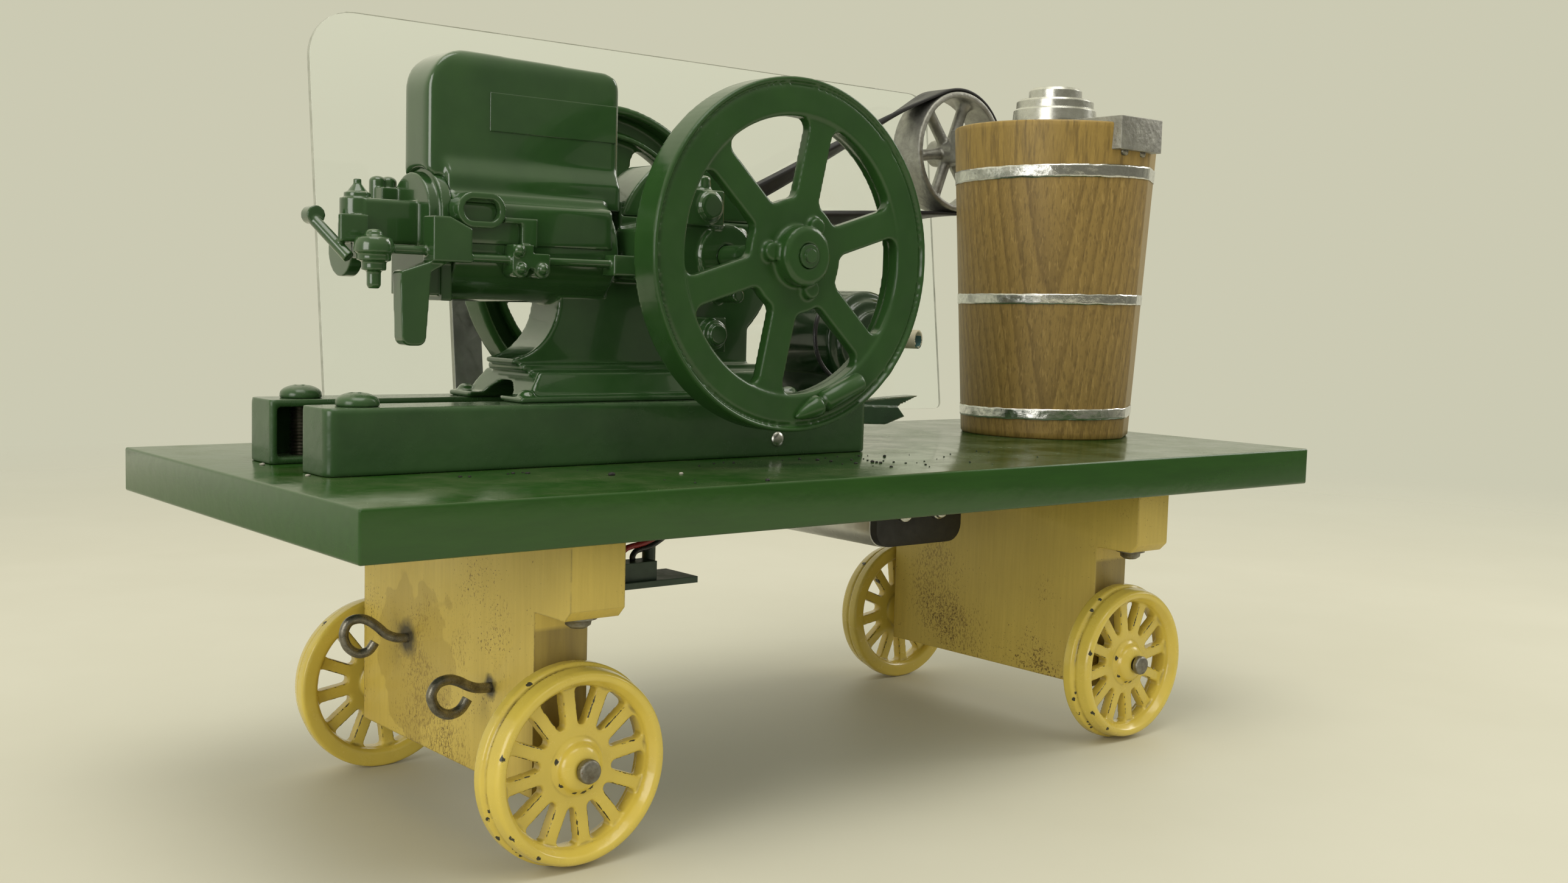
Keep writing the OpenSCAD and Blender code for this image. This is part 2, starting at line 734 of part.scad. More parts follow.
// Slanting lever in front of the valve chest, with a round boss
module rocker_lever() color(green) on_engine() {
    strut(lever_from, lever_to, lever_r);
    translate(lever_from + [0.7, 0, 0]) rod_along_y(-2, 1.8, 2);
}

bracket_left = barrel_end - 7.1;
bracket_right = bracket_left + 9.3;
bracket_near = -rod_y - 1;
rod_z = -3;
rod_end = barrel_inner + 1;
bracket_low = rod_z - rod_r - 0.15;

// Bracket on the head that the push rod comes out of
module rod_bracket() color(green) on_engine() difference() {
    across(bracket_near, -head_dome_r) polygon([[bracket_left, bracket_low],
        [bracket_right, bracket_low], [bracket_right, 3.3], [bracket_left + 4, 5.7],
        [bracket_left, 5.7]]);
    rod_along_x(barrel_end, 0, barrel_r);
    jacket(jacket_play);
    translate([0, -rod_y, rod_z]) rod_along_x(bracket_right - 3, bracket_right + 1, rod_r + running);
}

// Tapered blade that hangs under the bracket
module trip_blade() color(green) on_engine() across(bracket_near + 1, -head_dome_r - 0.05)
    polygon(rounded([[bracket_left - 7.2, -6.5], [bracket_left - 6.6, -22.3],
        [bracket_left - 1.2, -22.3], [bracket_left, -6.5], [bracket_left + 4.3, bracket_low],
        [bracket_left, bracket_low]], [0.6, 1.8, 1.8, 0, 0, 0], 4));

// Push rod beside the barrel
module push_rod() color(green) on_engine() translate([0, -rod_y, rod_z])
    rod_along_x(bracket_right - 3, rod_end, rod_r);

latch_x = -55.2;
latch_near = 0.2 - rod_y;
latch_t = 1.9;
latch_top = 6.3;
clamp_near = -rod_y - 1.8;
clamp_low = -4.9;

// Clamp on the push rod, its latch plate, and the bracket at the rod's end
module governor_latch() color(green) on_engine() difference() {
    union() {
        across(clamp_near, -barrel_r + 2) {
            polygon(rectangle(latch_x - 4.4, clamp_low, latch_x + 0.9, 0.4));
            polygon(rectangle(latch_x - 4.2, clamp_low, latch_x + 5.1, -1.4));
            for (x = clamp_screws_x) translate([x, clamp_low]) circle(clamp_lobe_r);
        }
        block([latch_x - 0.9, latch_near, 0], [latch_x + 3, latch_near + latch_t, latch_top]);
        block([latch_x - 5.4, latch_near, latch_top - 1.3],
            [latch_x - 0.5, latch_near + latch_t, latch_top]);
        for (x = clamp_screws_x) translate([x, clamp_near, clamp_low]) sphere(1.3);
        translate([latch_x - 3, clamp_near, -0.9]) sphere(1.4);
        block([barrel_inner - 4.1, -rod_y - 2.2, -5.7], [rod_end + 1, -barrel_r + 2, -0.9]);
    }
    rod_along_x(barrel_end, 0, barrel_r);
    jacket(jacket_play);
    translate([0, -rod_y, rod_z]) rod_along_x(latch_x - 9, rod_end + 2, rod_r + running);
}

clamp_screws_x = [latch_x - 2.3, latch_x + 3.2];
clamp_lobe_r = 2.1;

stub_x = [-68.6, -64.5];
stub_z = 7.5;
stub_r = 3.9;
stub_wall = 1.5;
stub_near = -barrel_r - 2.5;

// Broken stump of the exhaust elbow, open to the near side
module exhaust_stub() color(green) on_engine() difference() {
    across(stub_near, -case_half) hull() for (x = stub_x) translate([x, stub_z]) circle(stub_r, $fn = 32);
    across(stub_near - 1, stub_near + 2) hull() for (x = stub_x)
        translate([x, stub_z]) circle(stub_r - stub_wall, $fn = 32);
    rod_along_x(barrel_end, barrel_inner, barrel_r);
    jacket(jacket_play);
    skirt(jacket_play);
    along(head_left - 8, barrel_end + jacket_play) head_outline(-jacket_play);
    across(bracket_near - 1, -case_half) polygon([[bracket_left, bracket_low],
        [bracket_right + jacket_play, bracket_low], [bracket_right + jacket_play, 3.3 + jacket_play],
        [bracket_left + 4, 5.7 + jacket_play], [bracket_left, 5.7 + jacket_play]]);
}

// ---- Crank, bearings and hood ----

cap_left = -12.9;
cap_right = -1.9;
cap_top = 15.8;

// Bearing on the far side: arm from the casing, boss round the shaft and cap
module bearing(side) on_engine() sided(side) difference() {
    union() {
        across(case_half, bearing_face) polygon(rounded([[bearing_left, -6.5], [7, -6.5], [8.6, 0],
            [7, 7.4], [-18, 7.4], [bearing_left, 5.5]], [0, 2, 3, 2, 0, 0], 3));
        rod_along_y(case_half, bearing_face + 1.2, bearing_r);
        block([cap_left, case_half + 1.2, 7], [cap_right, bearing_face + 2, cap_top]);
        translate([(cap_left + cap_right) / 2 + 1.1, 0, 11.8])
            rod_along_y(case_half + 1.2, bearing_face + 3.2, 3.4);
        for (z = [-6, -9.5]) translate([5, 0, z]) rod_along_y(case_half, bearing_face, 1.8);
    }
    rod_along_y(0, bearing_face + 4, shaft_r + running);
}

bearing_left = barrel_inner + 2.7;

module near_bearing() color(green) bearing(-1);
module far_bearing() color(green) bearing(1);

// Screwed grease cups on the bearing caps
module grease_cups() color(green) on_engine() for (side = [-1, 1])
    translate([cap_right - 3, side * (case_half + 1.2 + 4.6), cap_top]) rotate_extrude()
        polygon([[0, 0], [1.4, 0], [1.4, 0.6], [2.25, 0.8], [2.25, 1.8], [1.8, 1.9], [1.8, 2.2],
            [2.1, 2.3], [2.1, 3.2], [1.2, 3.7], [0, 3.7]]);

// Magneto on the near side of the pedestal
module magneto() color(green) on_engine() sided(-1) {
    block([-7.5, case_half, -23.4], [2.5, case_half + 7, -14.8]);
    translate([-2.5, 0, -19.1]) rod_along_y(case_half + 7, case_half + 9.6, 3.7);
    translate([-2.5, 0, -19.1]) rod_along_y(case_half + 9.6, case_half + 11.1, 2.6);
}

// Profile of the splash hood, with the flat top cutting its round shoulders
module hood_outline(inset) {
    intersection() {
        circle(hood_r - inset);
        translate([hopper_right + 0.8 + inset, -1])
            square([-hopper_right + 18 - 2 * inset, hood_top + 1 - inset]);
    }
}

// Splash hood over the crank
module crank_hood() color(green) on_engine() difference() {
    across(-case_half, case_half) hood_outline(0);
    across(hood_t - case_half, case_half - hood_t) hood_outline(hood_t);
    block([-hood_r, -casing_t, -2], [hood_r, casing_t, hood_foot]);
}

// ---- Crankshaft and flywheels ----

module crankshaft() color(green) on_engine() {
    rod_along_y(shaft_near, shaft_far, shaft_r);
    rod_along_y(shaft_near - 0.7, shaft_near, shaft_r - 1.2);
}

// A flywheel on the near side, its open side towards the engine, with what is drawn on its face
module flywheel(side) on_engine() sided(-side) translate([0, -fly_face, 0])
    difference() {
        union() {
            turned_y() polygon([[fly_inner_r, 0.8], [fly_inner_r + 0.3, 0.5], [fly_r - 2, 0.5],
                [fly_r - 1.8, 1.1], [fly_r - 1.3, 1.1], [fly_r - 1.1, 0.3], [fly_r - 0.8, 0],
                [fly_r - 0.3, 0], [fly_r, 0.3], [fly_r, fly_w], [fly_r - 2.2, fly_w],
                [fly_r - 2.4, 2.7], [fly_inner_r + 1.7, 2.7], [fly_inner_r + 1.5, fly_w - 1.5],
                [fly_inner_r, fly_w - 1.5]]);
            across(fly_web_in, fly_web_in + fly_web_t) spoked_disc(fly_inner_r + 0.7, fly_web_r,
                fly_inner_r - web_lip, fly_spokes, fly_spoke_w, fly_fillet, fly_turn, 5);
            rod_along_y(fly_web_in, fly_web_in + 5, fly_hub_r + 1);
            children();
        }
        rod_along_y(-5, fly_w + 5, shaft_r + running);
    }

fly_web_in = 1;
fly_web_t = 3;
lobes = [55, 175, 295];
handle_from = [19.2, 0, -29.6];
handle_to = [1, 0, -37.2];
handle_r = 2.6;

// Bullet-shaped starting handle, half of it standing out of the near flywheel's rim
module starting_handle() color(green) on_engine() translate([0, -fly_face, 0]) difference() {
    run = handle_to - handle_from;
    l = norm(run);
    r = handle_r;
    translate(handle_from) rotate([0, acos(run[2] / l), atan2(run[1], run[0])]) rotate_extrude()
        polygon([[0, -1.2], [r - 0.5, -0.7], [r, 0.4], [r, l - 3], [0.8 * r, l - 1], [0.45 * r, l + 0.4],
            [0, l + 1]]);
    block([-fly_r, 0.5, -fly_r], [fly_r, fly_w, fly_r]);
}

// The near flywheel with its hub and hub lobes
module near_flywheel() color(green) flywheel(-1) {
    rod_along_y(-3, fly_web_in + 0.5, fly_hub_r);
    rod_along_y(-3.5, -2, fly_hub_r - 0.8);
    for (a = lobes) rotate([0, -a, 0]) translate([8.4, 0, 0])
        rod_along_y(-1, fly_web_in + 0.5, 2.2);
}

module far_flywheel() color(green) flywheel(1);

// A belt pulley on the far side: rim and hub, bored for its shaft
module pulley(r, wall, hub, bore) {
    difference() {
        union() {
            difference() {
                turned_y() polygon([[r - wall, 0], [r - 0.2, 0], [r, 0.8], [r, pulley_w - 0.8],
                    [r - 0.2, pulley_w], [r - wall, pulley_w]]);
            }
            children();
            rod_along_y(0, pulley_w, hub);
        }
        rod_along_y(-1, pulley_w + 1, bore);
    }
}

module drive_pulley() color(steel) on_engine() translate([0, drive_in, 0])
    pulley(drive_r, 1.6, shaft_r + 1.4, shaft_r + running)
        rod_along_y(pulley_w / 2 - 1.5, pulley_w / 2 + 1.5, drive_r - 1);

// ---- Belt ----

belt_steps = 24;
belt_curl_reach = 34;
belt_pass = 1.7;
wrap_1 = drive_r + belt_gap + belt_t / 2;
wrap_2 = churn_r + belt_gap + belt_t / 2;
pulley_1 = [crank_x, crank_z];
pulley_2 = [tub_x, churn_z];
belt_span = norm(pulley_2 - pulley_1);
belt_line = atan2(pulley_2[1] - pulley_1[1], pulley_2[0] - pulley_1[0]);
belt_cross = asin((wrap_1 + wrap_2) / belt_span);
rise_a = belt_line + belt_cross;
rise_b = belt_line - belt_cross;
crossing = wrap_1 / (wrap_1 + wrap_2);
run_l = sqrt(belt_span * belt_span - (wrap_1 + wrap_2) * (wrap_1 + wrap_2));

function ease(t) = let (c = min(1, max(0, t))) c * c * (3 - 2 * c);
function mix(a, b, t) = a + (b - a) * t;
function curl(f) = ease(min(f, 1 - f) * run_l / belt_curl_reach);
function half_turn(f, middle) = f < middle ? 90 * f / middle : 90 + 90 * (f - middle) / (1 - middle);
function pass_by(f, middle) = belt_pass * ease(1 - abs(f - middle) / 0.25);

// One ring of the belt: place, travel direction, twist, sideways shift and how far it is curled
function belt_ring(p, travel, twist, shift, curled) =
    let (w = mix(belt_w, belt_curl_w, curled) / 2, t = mix(belt_t, 2 * belt_t, curled) / 2)
    let (side = [-sin(travel) * sin(twist), cos(twist), cos(travel) * sin(twist)])
    let (face = [-sin(travel) * cos(twist), -sin(twist), cos(travel) * cos(twist)])
    let (c = [p[0], drive_y + shift, p[1]])
    [c - w * side - t * face, c + w * side - t * face, c + w * side + t * face, c - w * side + t * face];

function belt_arc(c, r, a0, a1, twist, way) = [for (i = [0:belt_steps])
    let (a = a0 + (a1 - a0) * i / belt_steps) belt_ring(c + polar(r, a), a + way * 90, twist, 0, 0)];

function belt_run(from, to, travel, twist, middle, shift) = [for (i = [1:belt_steps - 1])
    let (f = i / belt_steps) belt_ring(mix(from, to, f), travel, twist + half_turn(f, middle),
        shift * pass_by(f, middle), curl(f))];

belt_rings = concat(
    belt_run(pulley_1 - polar(wrap_1, rise_a + 90), pulley_2 + polar(wrap_2, rise_a + 90),
        rise_a, 0, crossing, 1),
    belt_arc(pulley_2, wrap_2, rise_a + 90, rise_b - 90, 180, -1),
    belt_run(pulley_2 - polar(wrap_2, rise_b + 90), pulley_1 + polar(wrap_1, rise_b + 90),
        rise_b + 180, 180, 1 - crossing, -1),
    belt_arc(pulley_1, wrap_1, rise_b + 90, rise_a + 270, 360, 1));

// A closed loop through rings of points
module loop_of_rings(rings) {
    n = len(rings);
    k = len(rings[0]);
    polyhedron([for (ring = rings) each ring], [for (i = [0:n - 1], j = [0:k - 1])
        let (a = i * k + j, b = i * k + (j + 1) % k)
        let (c = ((i + 1) % n) * k + j, d = ((i + 1) % n) * k + (j + 1) % k)
        each [[a, c, d], [a, d, b]]]);
}

// Crossed belt, curled between the pulleys
module belt() color(black) on_deck() loop_of_rings(belt_rings);

// ---- Freezer ----

churn_spoke_r = 1.9;
churn_hub_r = 4.4;

module churn_pulley() color(steel) on_deck() translate([tub_x, drive_y - pulley_w / 2, churn_z])
    pulley(churn_r, 2, churn_hub_r, churn_shaft_r + running)
        for (i = [0:5]) rotate([0, 52 + 60 * i, 0]) translate([0, pulley_w / 2, 0]) {
            rod_along_x(churn_hub_r - 1.5, churn_r - 1.5, churn_spoke_r);
            translate([churn_r - 4.5, 0, 0]) rotate([0, 90, 0])
                cylinder(h = 2.8, r1 = churn_spoke_r, r2 = churn_spoke_r + 1.4);
        }

module churn_shaft() color(steel) on_deck() translate([tub_x, 0, churn_z])
    rod_along_y(frame_far - shaft_grip, drive_y + pulley_w / 2 + 1, churn_shaft_r);

shaft_grip = 13.5;

// The tub's outside, grown by some distance, with its flat side
module tub_outside(grow) {
    difference() {
        rotate_extrude($fn = 96) polygon([[0, 0], [tub_foot_r + grow, 0],
            [tub_rim_r + grow, tub_h], [0, tub_h]]);
        rotate([0, 0, tub_flat_turn]) rotate([0, tub_taper, 0])
            translate([tub_foot_r - tub_flat + grow, -tub_rim_r, -10])
            cube([2 * tub_flat + 10, 2 * tub_rim_r, tub_h + 30]);
    }
}

// The gear frame's bar, grown by some play
module frame_bar(play) {
    block([tub_x - frame_w / 2 - play, frame_near, frame_low - play],
        [tub_x + frame_w / 2 + play, frame_far, rim_z + frame_up]);
}

module tub() color(wood) on_deck() difference() {
    translate([tub_x, tub_y, deck_top]) tub_outside(0);
    translate([tub_x, tub_y, deck_top + tub_floor])
        cylinder(h = tub_h, r1 = tub_foot_r - tub_wall, r2 = tub_rim_r - tub_wall + 0.3);
    frame_bar(notch_play);
}

tub_floor = 6;
hoop_drop = 14.8;
hoops = [[5.5, 3.2], [0.426 * tub_h, 3], [tub_h - hoop_drop, 3.7]];

module tub_hoops() color("silver") on_deck() translate([tub_x, tub_y, deck_top])
    for (hoop = hoops) intersection() {
        difference() {
            tub_outside(hoop_t + hoop_play);
            tub_outside(hoop_play);
        }
        translate([0, 0, hoop[0]]) cylinder(h = hoop[1], r = 2 * tub_rim_r);
    }

hoop_play = 0.05;

// Lid let into the tub, with a channel for the gear frame
module tub_lid() color(wood) on_deck() difference() {
    translate([tub_x, tub_y, frame_low - lid_floor])
        cylinder(h = rim_z - lid_sunk - frame_low + lid_floor, r = tub_rim_r - tub_wall - lid_play);
    frame_bar(notch_play);
}

lid_floor = 3;
lid_sunk = 1.2;
lid_play = 0.9;

// Gear frame across the tub's rim, bored at its far end for the pulley shaft
module gear_frame() color(steel) on_deck() difference() {
    frame_bar(0);
    translate([tub_x, 0, churn_z])
        rod_along_y(frame_far - shaft_grip - 0.5, frame_far + 1, churn_shaft_r + running);
}

// Stepped cap over the gears
module gear_cap() color("silver") on_deck() translate([tub_x - 1.2, tub_y + 0.1, rim_z + frame_up])
    rotate_extrude($fn = 96) polygon([[0, 0], [cap_r, 0], [cap_r, 0.8], [cap_r - 0.3, cap_step_1 - 0.5],
        [cap_r - 0.8, cap_step_1], [cap_r - 1, cap_step_1], [cap_r - 1.1, cap_step_2 - 0.6],
        [cap_r - 1.6, cap_step_2], [cap_r - 4.7, cap_step_2], [cap_r - 4.8, cap_h - 0.8],
        [cap_r - 5.5, cap_h], [0, cap_h]]);

cap_step_1 = 4.4;
cap_step_2 = 7.2;
cap_h = 10.8;

// ---- Guard ----

// What is drawn against the guard's front face, in X and up its slope
module on_guard(from, thick) {
    translate([0, guard_y, guard_z]) rotate([-guard_lean, 0, 0]) across(from, from + thick)
        children();
}

module guard() color([0.8, 0.85, 0.85, 0.3]) on_deck() on_guard(0, guard_t)
    polygon(rounded(rectangle(guard_left, 0, guard_left + guard_l, guard_h), [2, 2, 8, 13], 8));

// Two flat posts on the deck behind the guard
module guard_posts() color("gray") on_deck() intersection() {
    on_guard(guard_t, post_t) for (x = posts_left)
        polygon(rectangle(x, -2 * guard_lift, x + post_w, post_l - guard_lift));
    block([-deck_l / 2, 0, deck_top], [deck_l / 2, deck_w, rim_z]);
}

// ---- Motor and electrics ----

bell_step = 1.6;

module motor() color(dark_green) on_deck() translate([motor_x, motor_near, motor_z])
    difference() {
        turned_y() polygon([[0, 0], [motor_r - 5.5, 0], [motor_r - 5.5, bell_step],
            [motor_r - 2.6, bell_step + 0.2], [motor_r - 2.4, 2 * bell_step],
            [motor_r - 0.7, 2 * bell_step + 0.3],
            [motor_r, 2 * bell_step + 1], [motor_r, motor_l - 2.8], [motor_r - 1, motor_l - 2.2],
            [motor_r - 3, motor_l - 2], [motor_r - 3, motor_l], [0, motor_l]]);
        translate([2.2, 0, -2.4]) rod_along_y(-1, 3, 1.7);
    }

saddle_left = skid_right + 0.9;
saddle_right = motor_x + motor_r - 1.5;

module motor_saddle() color(dark_green) on_deck() difference() {
    block([saddle_left, motor_near + 4.5, deck_top], [saddle_right, motor_far - 4, motor_z - 5]);
    translate([motor_x, 0, motor_z]) rod_along_y(motor_near - 5, motor_far + 5, motor_r + 0.02);
}

sleeve_r = 2.65;
sleeve_from = [motor_x + 22, -2, motor_z + 0.5];
sleeve_to = [motor_x + 16.1, 14.4, motor_z + 0.5];

// Insulating sleeve beside the motor, with its opening to the near side
module lead_sleeve() color("ivory") on_deck() difference() {
    strut(sleeve_from, sleeve_to, sleeve_r);
    strut(sleeve_from - (sleeve_to - sleeve_from) / 20, sleeve_from + (sleeve_to - sleeve_from) * 0.7,
        sleeve_r - 0.65);
}

clip_y = engine_y - skid_span / 2 + skid_w / 2 - 1;
clip_z = skid_top - 4.9;

// Crocodile clip at the near skid's end: body and toothed jaw
module lead_clip() color(dark_green) on_deck() {
    across(clip_y - 2.8, clip_y + 2.8) polygon([[skid_right, clip_z - 2.2], [skid_right + 9, clip_z - 2.6],
        [skid_right + 16, clip_z - 0.6], [skid_right + 13.5, clip_z + 2], [skid_right, clip_z + 2.6]]);
    across(clip_y - 2.3, clip_y + 2.3) polygon(concat([[skid_right, clip_z + 2.7],
        [skid_right + 13.6, clip_z + 2.1]],
        [for (i = [1:7]) each [[skid_right + 13.6 + i, clip_z + 2.1 + 0.35 * i],
            [skid_right + 13.8 + i, clip_z + 2.6 + 0.32 * i]]],
        [[skid_right + 22, clip_z + 5], [skid_right + 12, clip_z + 4.6], [skid_right, clip_z + 3.8]]));
}

lead_r = 0.6;
lead_steps = [[-0.3, -3, 22.7], [-3, -4.4, 24.5], [-6.9, -7, 24.1], [-11, -9, 21.1],
    [-12.8, -10, 15.5], [-11.4, -10.5, 9.5], [-7.4, -11.5, 4.9], [-2.9, -12, 2.7], [0.6, -12, 1.1],
    [2.4, -12, -0.1]];
lead_points = [for (p = lead_steps) p + [skid_right, 0, skid_top]];

// A smooth route through chosen points
function spline(p, i, t) = let (n = len(p) - 1)
    let (a = p[max(0, i - 1)], b = p[i], c = p[min(n, i + 1)], d = p[min(n, i + 2)])
    0.5 * (2 * b + (c - a) * t + (2 * a - 5 * b + 4 * c - d) * t * t
        + (3 * b - a - 3 * c + d) * t * t * t);
function route(p, per) = concat([for (i = [0:len(p) - 2], k = [0:per - 1]) spline(p, i, k / per)],
    [p[len(p) - 1]]);

// A tube along a route; no stretch of it may run along the aside direction
module tube(path, r, aside, sides = 8) {
    n = len(path);
    rings = [for (i = [0:n - 1])
        let (t = path[min(n - 1, i + 1)] - path[max(0, i - 1)])
        let (u = cross(t, aside) / norm(cross(t, aside)), v = cross(u, t) / norm(t))
        [for (j = [0:sides - 1]) path[i] + r * (u * cos(j * 360 / sides) + v * sin(j * 360 / sides))]];
    polyhedron([for (ring = rings) each ring], concat(
        [[for (j = [sides - 1:-1:0]) j]],
        [for (i = [0:n - 2], j = [0:sides - 1])
            [i * sides + j, i * sides + (j + 1) % sides, (i + 1) * sides + (j + 1) % sides,
                (i + 1) * sides + j]],
        [[for (j = [0:sides - 1]) (n - 1) * sides + j]]));
}

// Black lead from the motor's near end down to the clip
module motor_lead() color(black) on_deck() tube(route(lead_points, 3), lead_r, [0, 1, 0]);

battery_wall = 1.2;
battery_cap_t = 2.5;

module battery_outline(inset) {
    polygon(rounded(rectangle(inset, inset, battery_w - inset, battery_h - inset),
        [5 - inset, 5 - inset, 2, 2], 6));
}

// Battery box under the deck: shell and black end plate
module battery_box() color("silver") on_deck() translate([battery_left, 0, deck_under - battery_h]) {
    across(battery_near + battery_cap_t, battery_near + battery_l) battery_outline(0);
    color(black) across(battery_near, battery_near + battery_cap_t) battery_outline(0.3);
}

snap_pitch = 12.6;

// The two snaps on the battery box's end
module battery_snaps() color("silver") on_deck() for (side = [-1, 1])
    translate([battery_left + battery_w / 2 + side * snap_pitch / 2, battery_near,
        deck_under - battery_h + 9.5]) {
        rod_along_y(-1.2, 0, 2.6);
        rod_along_y(-2.4, -1.2, 1.7 + 0.4 * side);
    }

board_z = deck_under - 13.4;
board_x = [front_x + bolster_t / 2 + 1, front_x + bolster_t / 2 + 25];
board_y = [18 - deck_w / 2, 30 - deck_w / 2];
board_posts_x = [board_x[0] + 9, board_x[0] + 17];

// Small switch board that hangs under the deck on two posts
module switch_board() color(dark_green) on_deck() {
    block([board_x[0], board_y[0], board_z], [board_x[1], board_y[1], board_z + 1.4]);
    for (x = board_posts_x) translate([x, board_y[1] - 3, board_z]) cylinder(h = 13.4, r = 1.5);
    block([board_x[0] + 3, board_y[0] + 1.5, board_z + 1.4],
        [board_x[0] + 14, board_y[0] + 6.5, board_z + 5.4]);
}

wire_points = [[[-79, -42.6, 63.05], [-79, -42.6, 64.2], [-77, -42.4, 66], [-72, -42, 66.8],
        [-66, -41, 68.6], [-58, -38, 70], [-50, -34, 70]],
    [[-74.6, -41.2, 63.05], [-74.6, -41.2, 64], [-73, -40.6, 65], [-69, -39.6, 65.4],
        [-64, -38.6, 67.4], [-57, -35.6, 70], [-50, -31, 70]]];

// Red and black wires from the switch up to the deck
module switch_wires() color(black) on_deck() for (points = wire_points)
    tube(route(points, 3), 0.65, [0, 1, 0]);

deck();
front_beam();
front_board();
rear_beam();
rear_board();
axle_screws();
front_near_wheel();
front_far_wheel();
rear_near_wheel();
rear_far_wheel();
tow_hooks();
battery_box();
battery_snaps();
switch_board();
switch_wires();
near_skid();
far_skid();
skid_screws();
engine_base();
base_bolts();
near_crankcase();
far_crankcase();
barrel();
water_hopper();
cylinder_head();
valve_chest();
mixer();
rocker_lever();
trip_blade();
rod_bracket();
push_rod();
governor_latch();
exhaust_stub();
near_bearing();
far_bearing();
grease_cups();
magneto();
crank_hood();
crankshaft();
near_flywheel();
starting_handle();
far_flywheel();
drive_pulley();
belt();
churn_pulley();
churn_shaft();
tub();
tub_hoops();
tub_lid();
gear_frame();
gear_cap();
guard();
guard_posts();
motor();
motor_saddle();
motor_lead();
lead_sleeve();
lead_clip();
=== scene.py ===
import json
import math
import random

import bmesh
import bpy
from mathutils import Matrix, Vector, noise


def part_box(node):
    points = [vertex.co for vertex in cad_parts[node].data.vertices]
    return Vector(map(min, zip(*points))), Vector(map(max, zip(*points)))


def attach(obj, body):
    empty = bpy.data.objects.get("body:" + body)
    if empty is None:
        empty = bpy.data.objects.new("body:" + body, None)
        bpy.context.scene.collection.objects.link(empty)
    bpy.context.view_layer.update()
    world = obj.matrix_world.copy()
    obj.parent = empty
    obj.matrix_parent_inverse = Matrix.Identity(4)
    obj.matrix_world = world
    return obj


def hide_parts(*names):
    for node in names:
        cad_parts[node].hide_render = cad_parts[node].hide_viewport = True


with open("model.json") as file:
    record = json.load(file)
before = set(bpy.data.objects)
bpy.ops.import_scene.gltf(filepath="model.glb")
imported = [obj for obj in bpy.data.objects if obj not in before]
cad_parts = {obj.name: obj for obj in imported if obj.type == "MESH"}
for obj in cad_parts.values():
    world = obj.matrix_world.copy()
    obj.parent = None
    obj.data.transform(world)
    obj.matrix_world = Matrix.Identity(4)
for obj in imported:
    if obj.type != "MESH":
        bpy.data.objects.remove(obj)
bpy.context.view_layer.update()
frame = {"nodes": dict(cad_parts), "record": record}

MM = 0.001
STAND = "stand_and_engine"

# Places below are in millimetres: X and Y from the middle of the deck, Z from the ground.
deck_low, deck_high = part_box("deck")
DECK_TOP = deck_high.z / MM
DECK_SHIFT = (deck_low.y + deck_high.y) / 2 / MM

# Holes of the tow hooks in the front board: place, and how far the dark spreads round them, painted shade of
# the closed hole's mouth with a stain round it
HOOK_HOLES = [(-98.5, -22.4, 34.3, 2.1), (-98.5, 17.2, 38.2, 4.4)]
# The tub: middle, radius at foot and rim, height, how deep its flat side is cut and where that faces
TUB_X, TUB_Y = 114.4, 7.9
TUB_FOOT, TUB_RIM, TUB_TALL = 26.2, 31.4, 93.8
TUB_FLAT, TUB_FLAT_TURN = 1.35, math.radians(-57)
# Its foil hoops: height over the deck, width, lean to the right side, and where the overlap starts
HOOPS = [(5.9, 3.2, 0.5, -118), (40.3, 3.0, 0.5, -104), (77.4, 3.7, 0.9, -112)]


def place(x, y, z):
    """A point on the toy, from millimetres measured from the middle of the deck."""
    return Vector((x, y + DECK_SHIFT, z)) * MM


def add_object(name, data):
    """A new object in the scene, made from its data."""
    made = bpy.data.objects.new(name, data)
    bpy.context.collection.objects.link(made)
    return made


# ---- Camera ----

CAMERA_AT = Vector((-0.27065, -0.332906, 0.11904))
YAW, PITCH, ROLL = 39.726, 4.842, 1.575
SENSOR_WIDTH, LENS = 36, 36.882


def make_camera():
    """A camera at its own place, turned by its yaw, pitch and roll in degrees."""
    yaw, pitch, roll = (math.radians(a) for a in (YAW, PITCH, ROLL))
    forward = Vector((math.sin(yaw) * math.cos(pitch), math.cos(yaw) * math.cos(pitch), -math.sin(pitch)))
    right = Vector((math.cos(yaw), -math.sin(yaw), 0))
    up = right.cross(forward)
    tilted_right = math.cos(roll) * right + math.sin(roll) * up
    tilted_up = math.cos(roll) * up - math.sin(roll) * right
    data = bpy.data.cameras.new("camera")
    data.sensor_width = SENSOR_WIDTH
    data.lens = LENS
    data.clip_start = 0.01
    camera = add_object("camera", data)
    turn = Matrix((tilted_right, tilted_up, -forward)).transposed().to_4x4()
    camera.matrix_world = Matrix.Translation(CAMERA_AT) @ turn
    bpy.context.scene.camera = camera


make_camera()


# ---- Shader groups ----


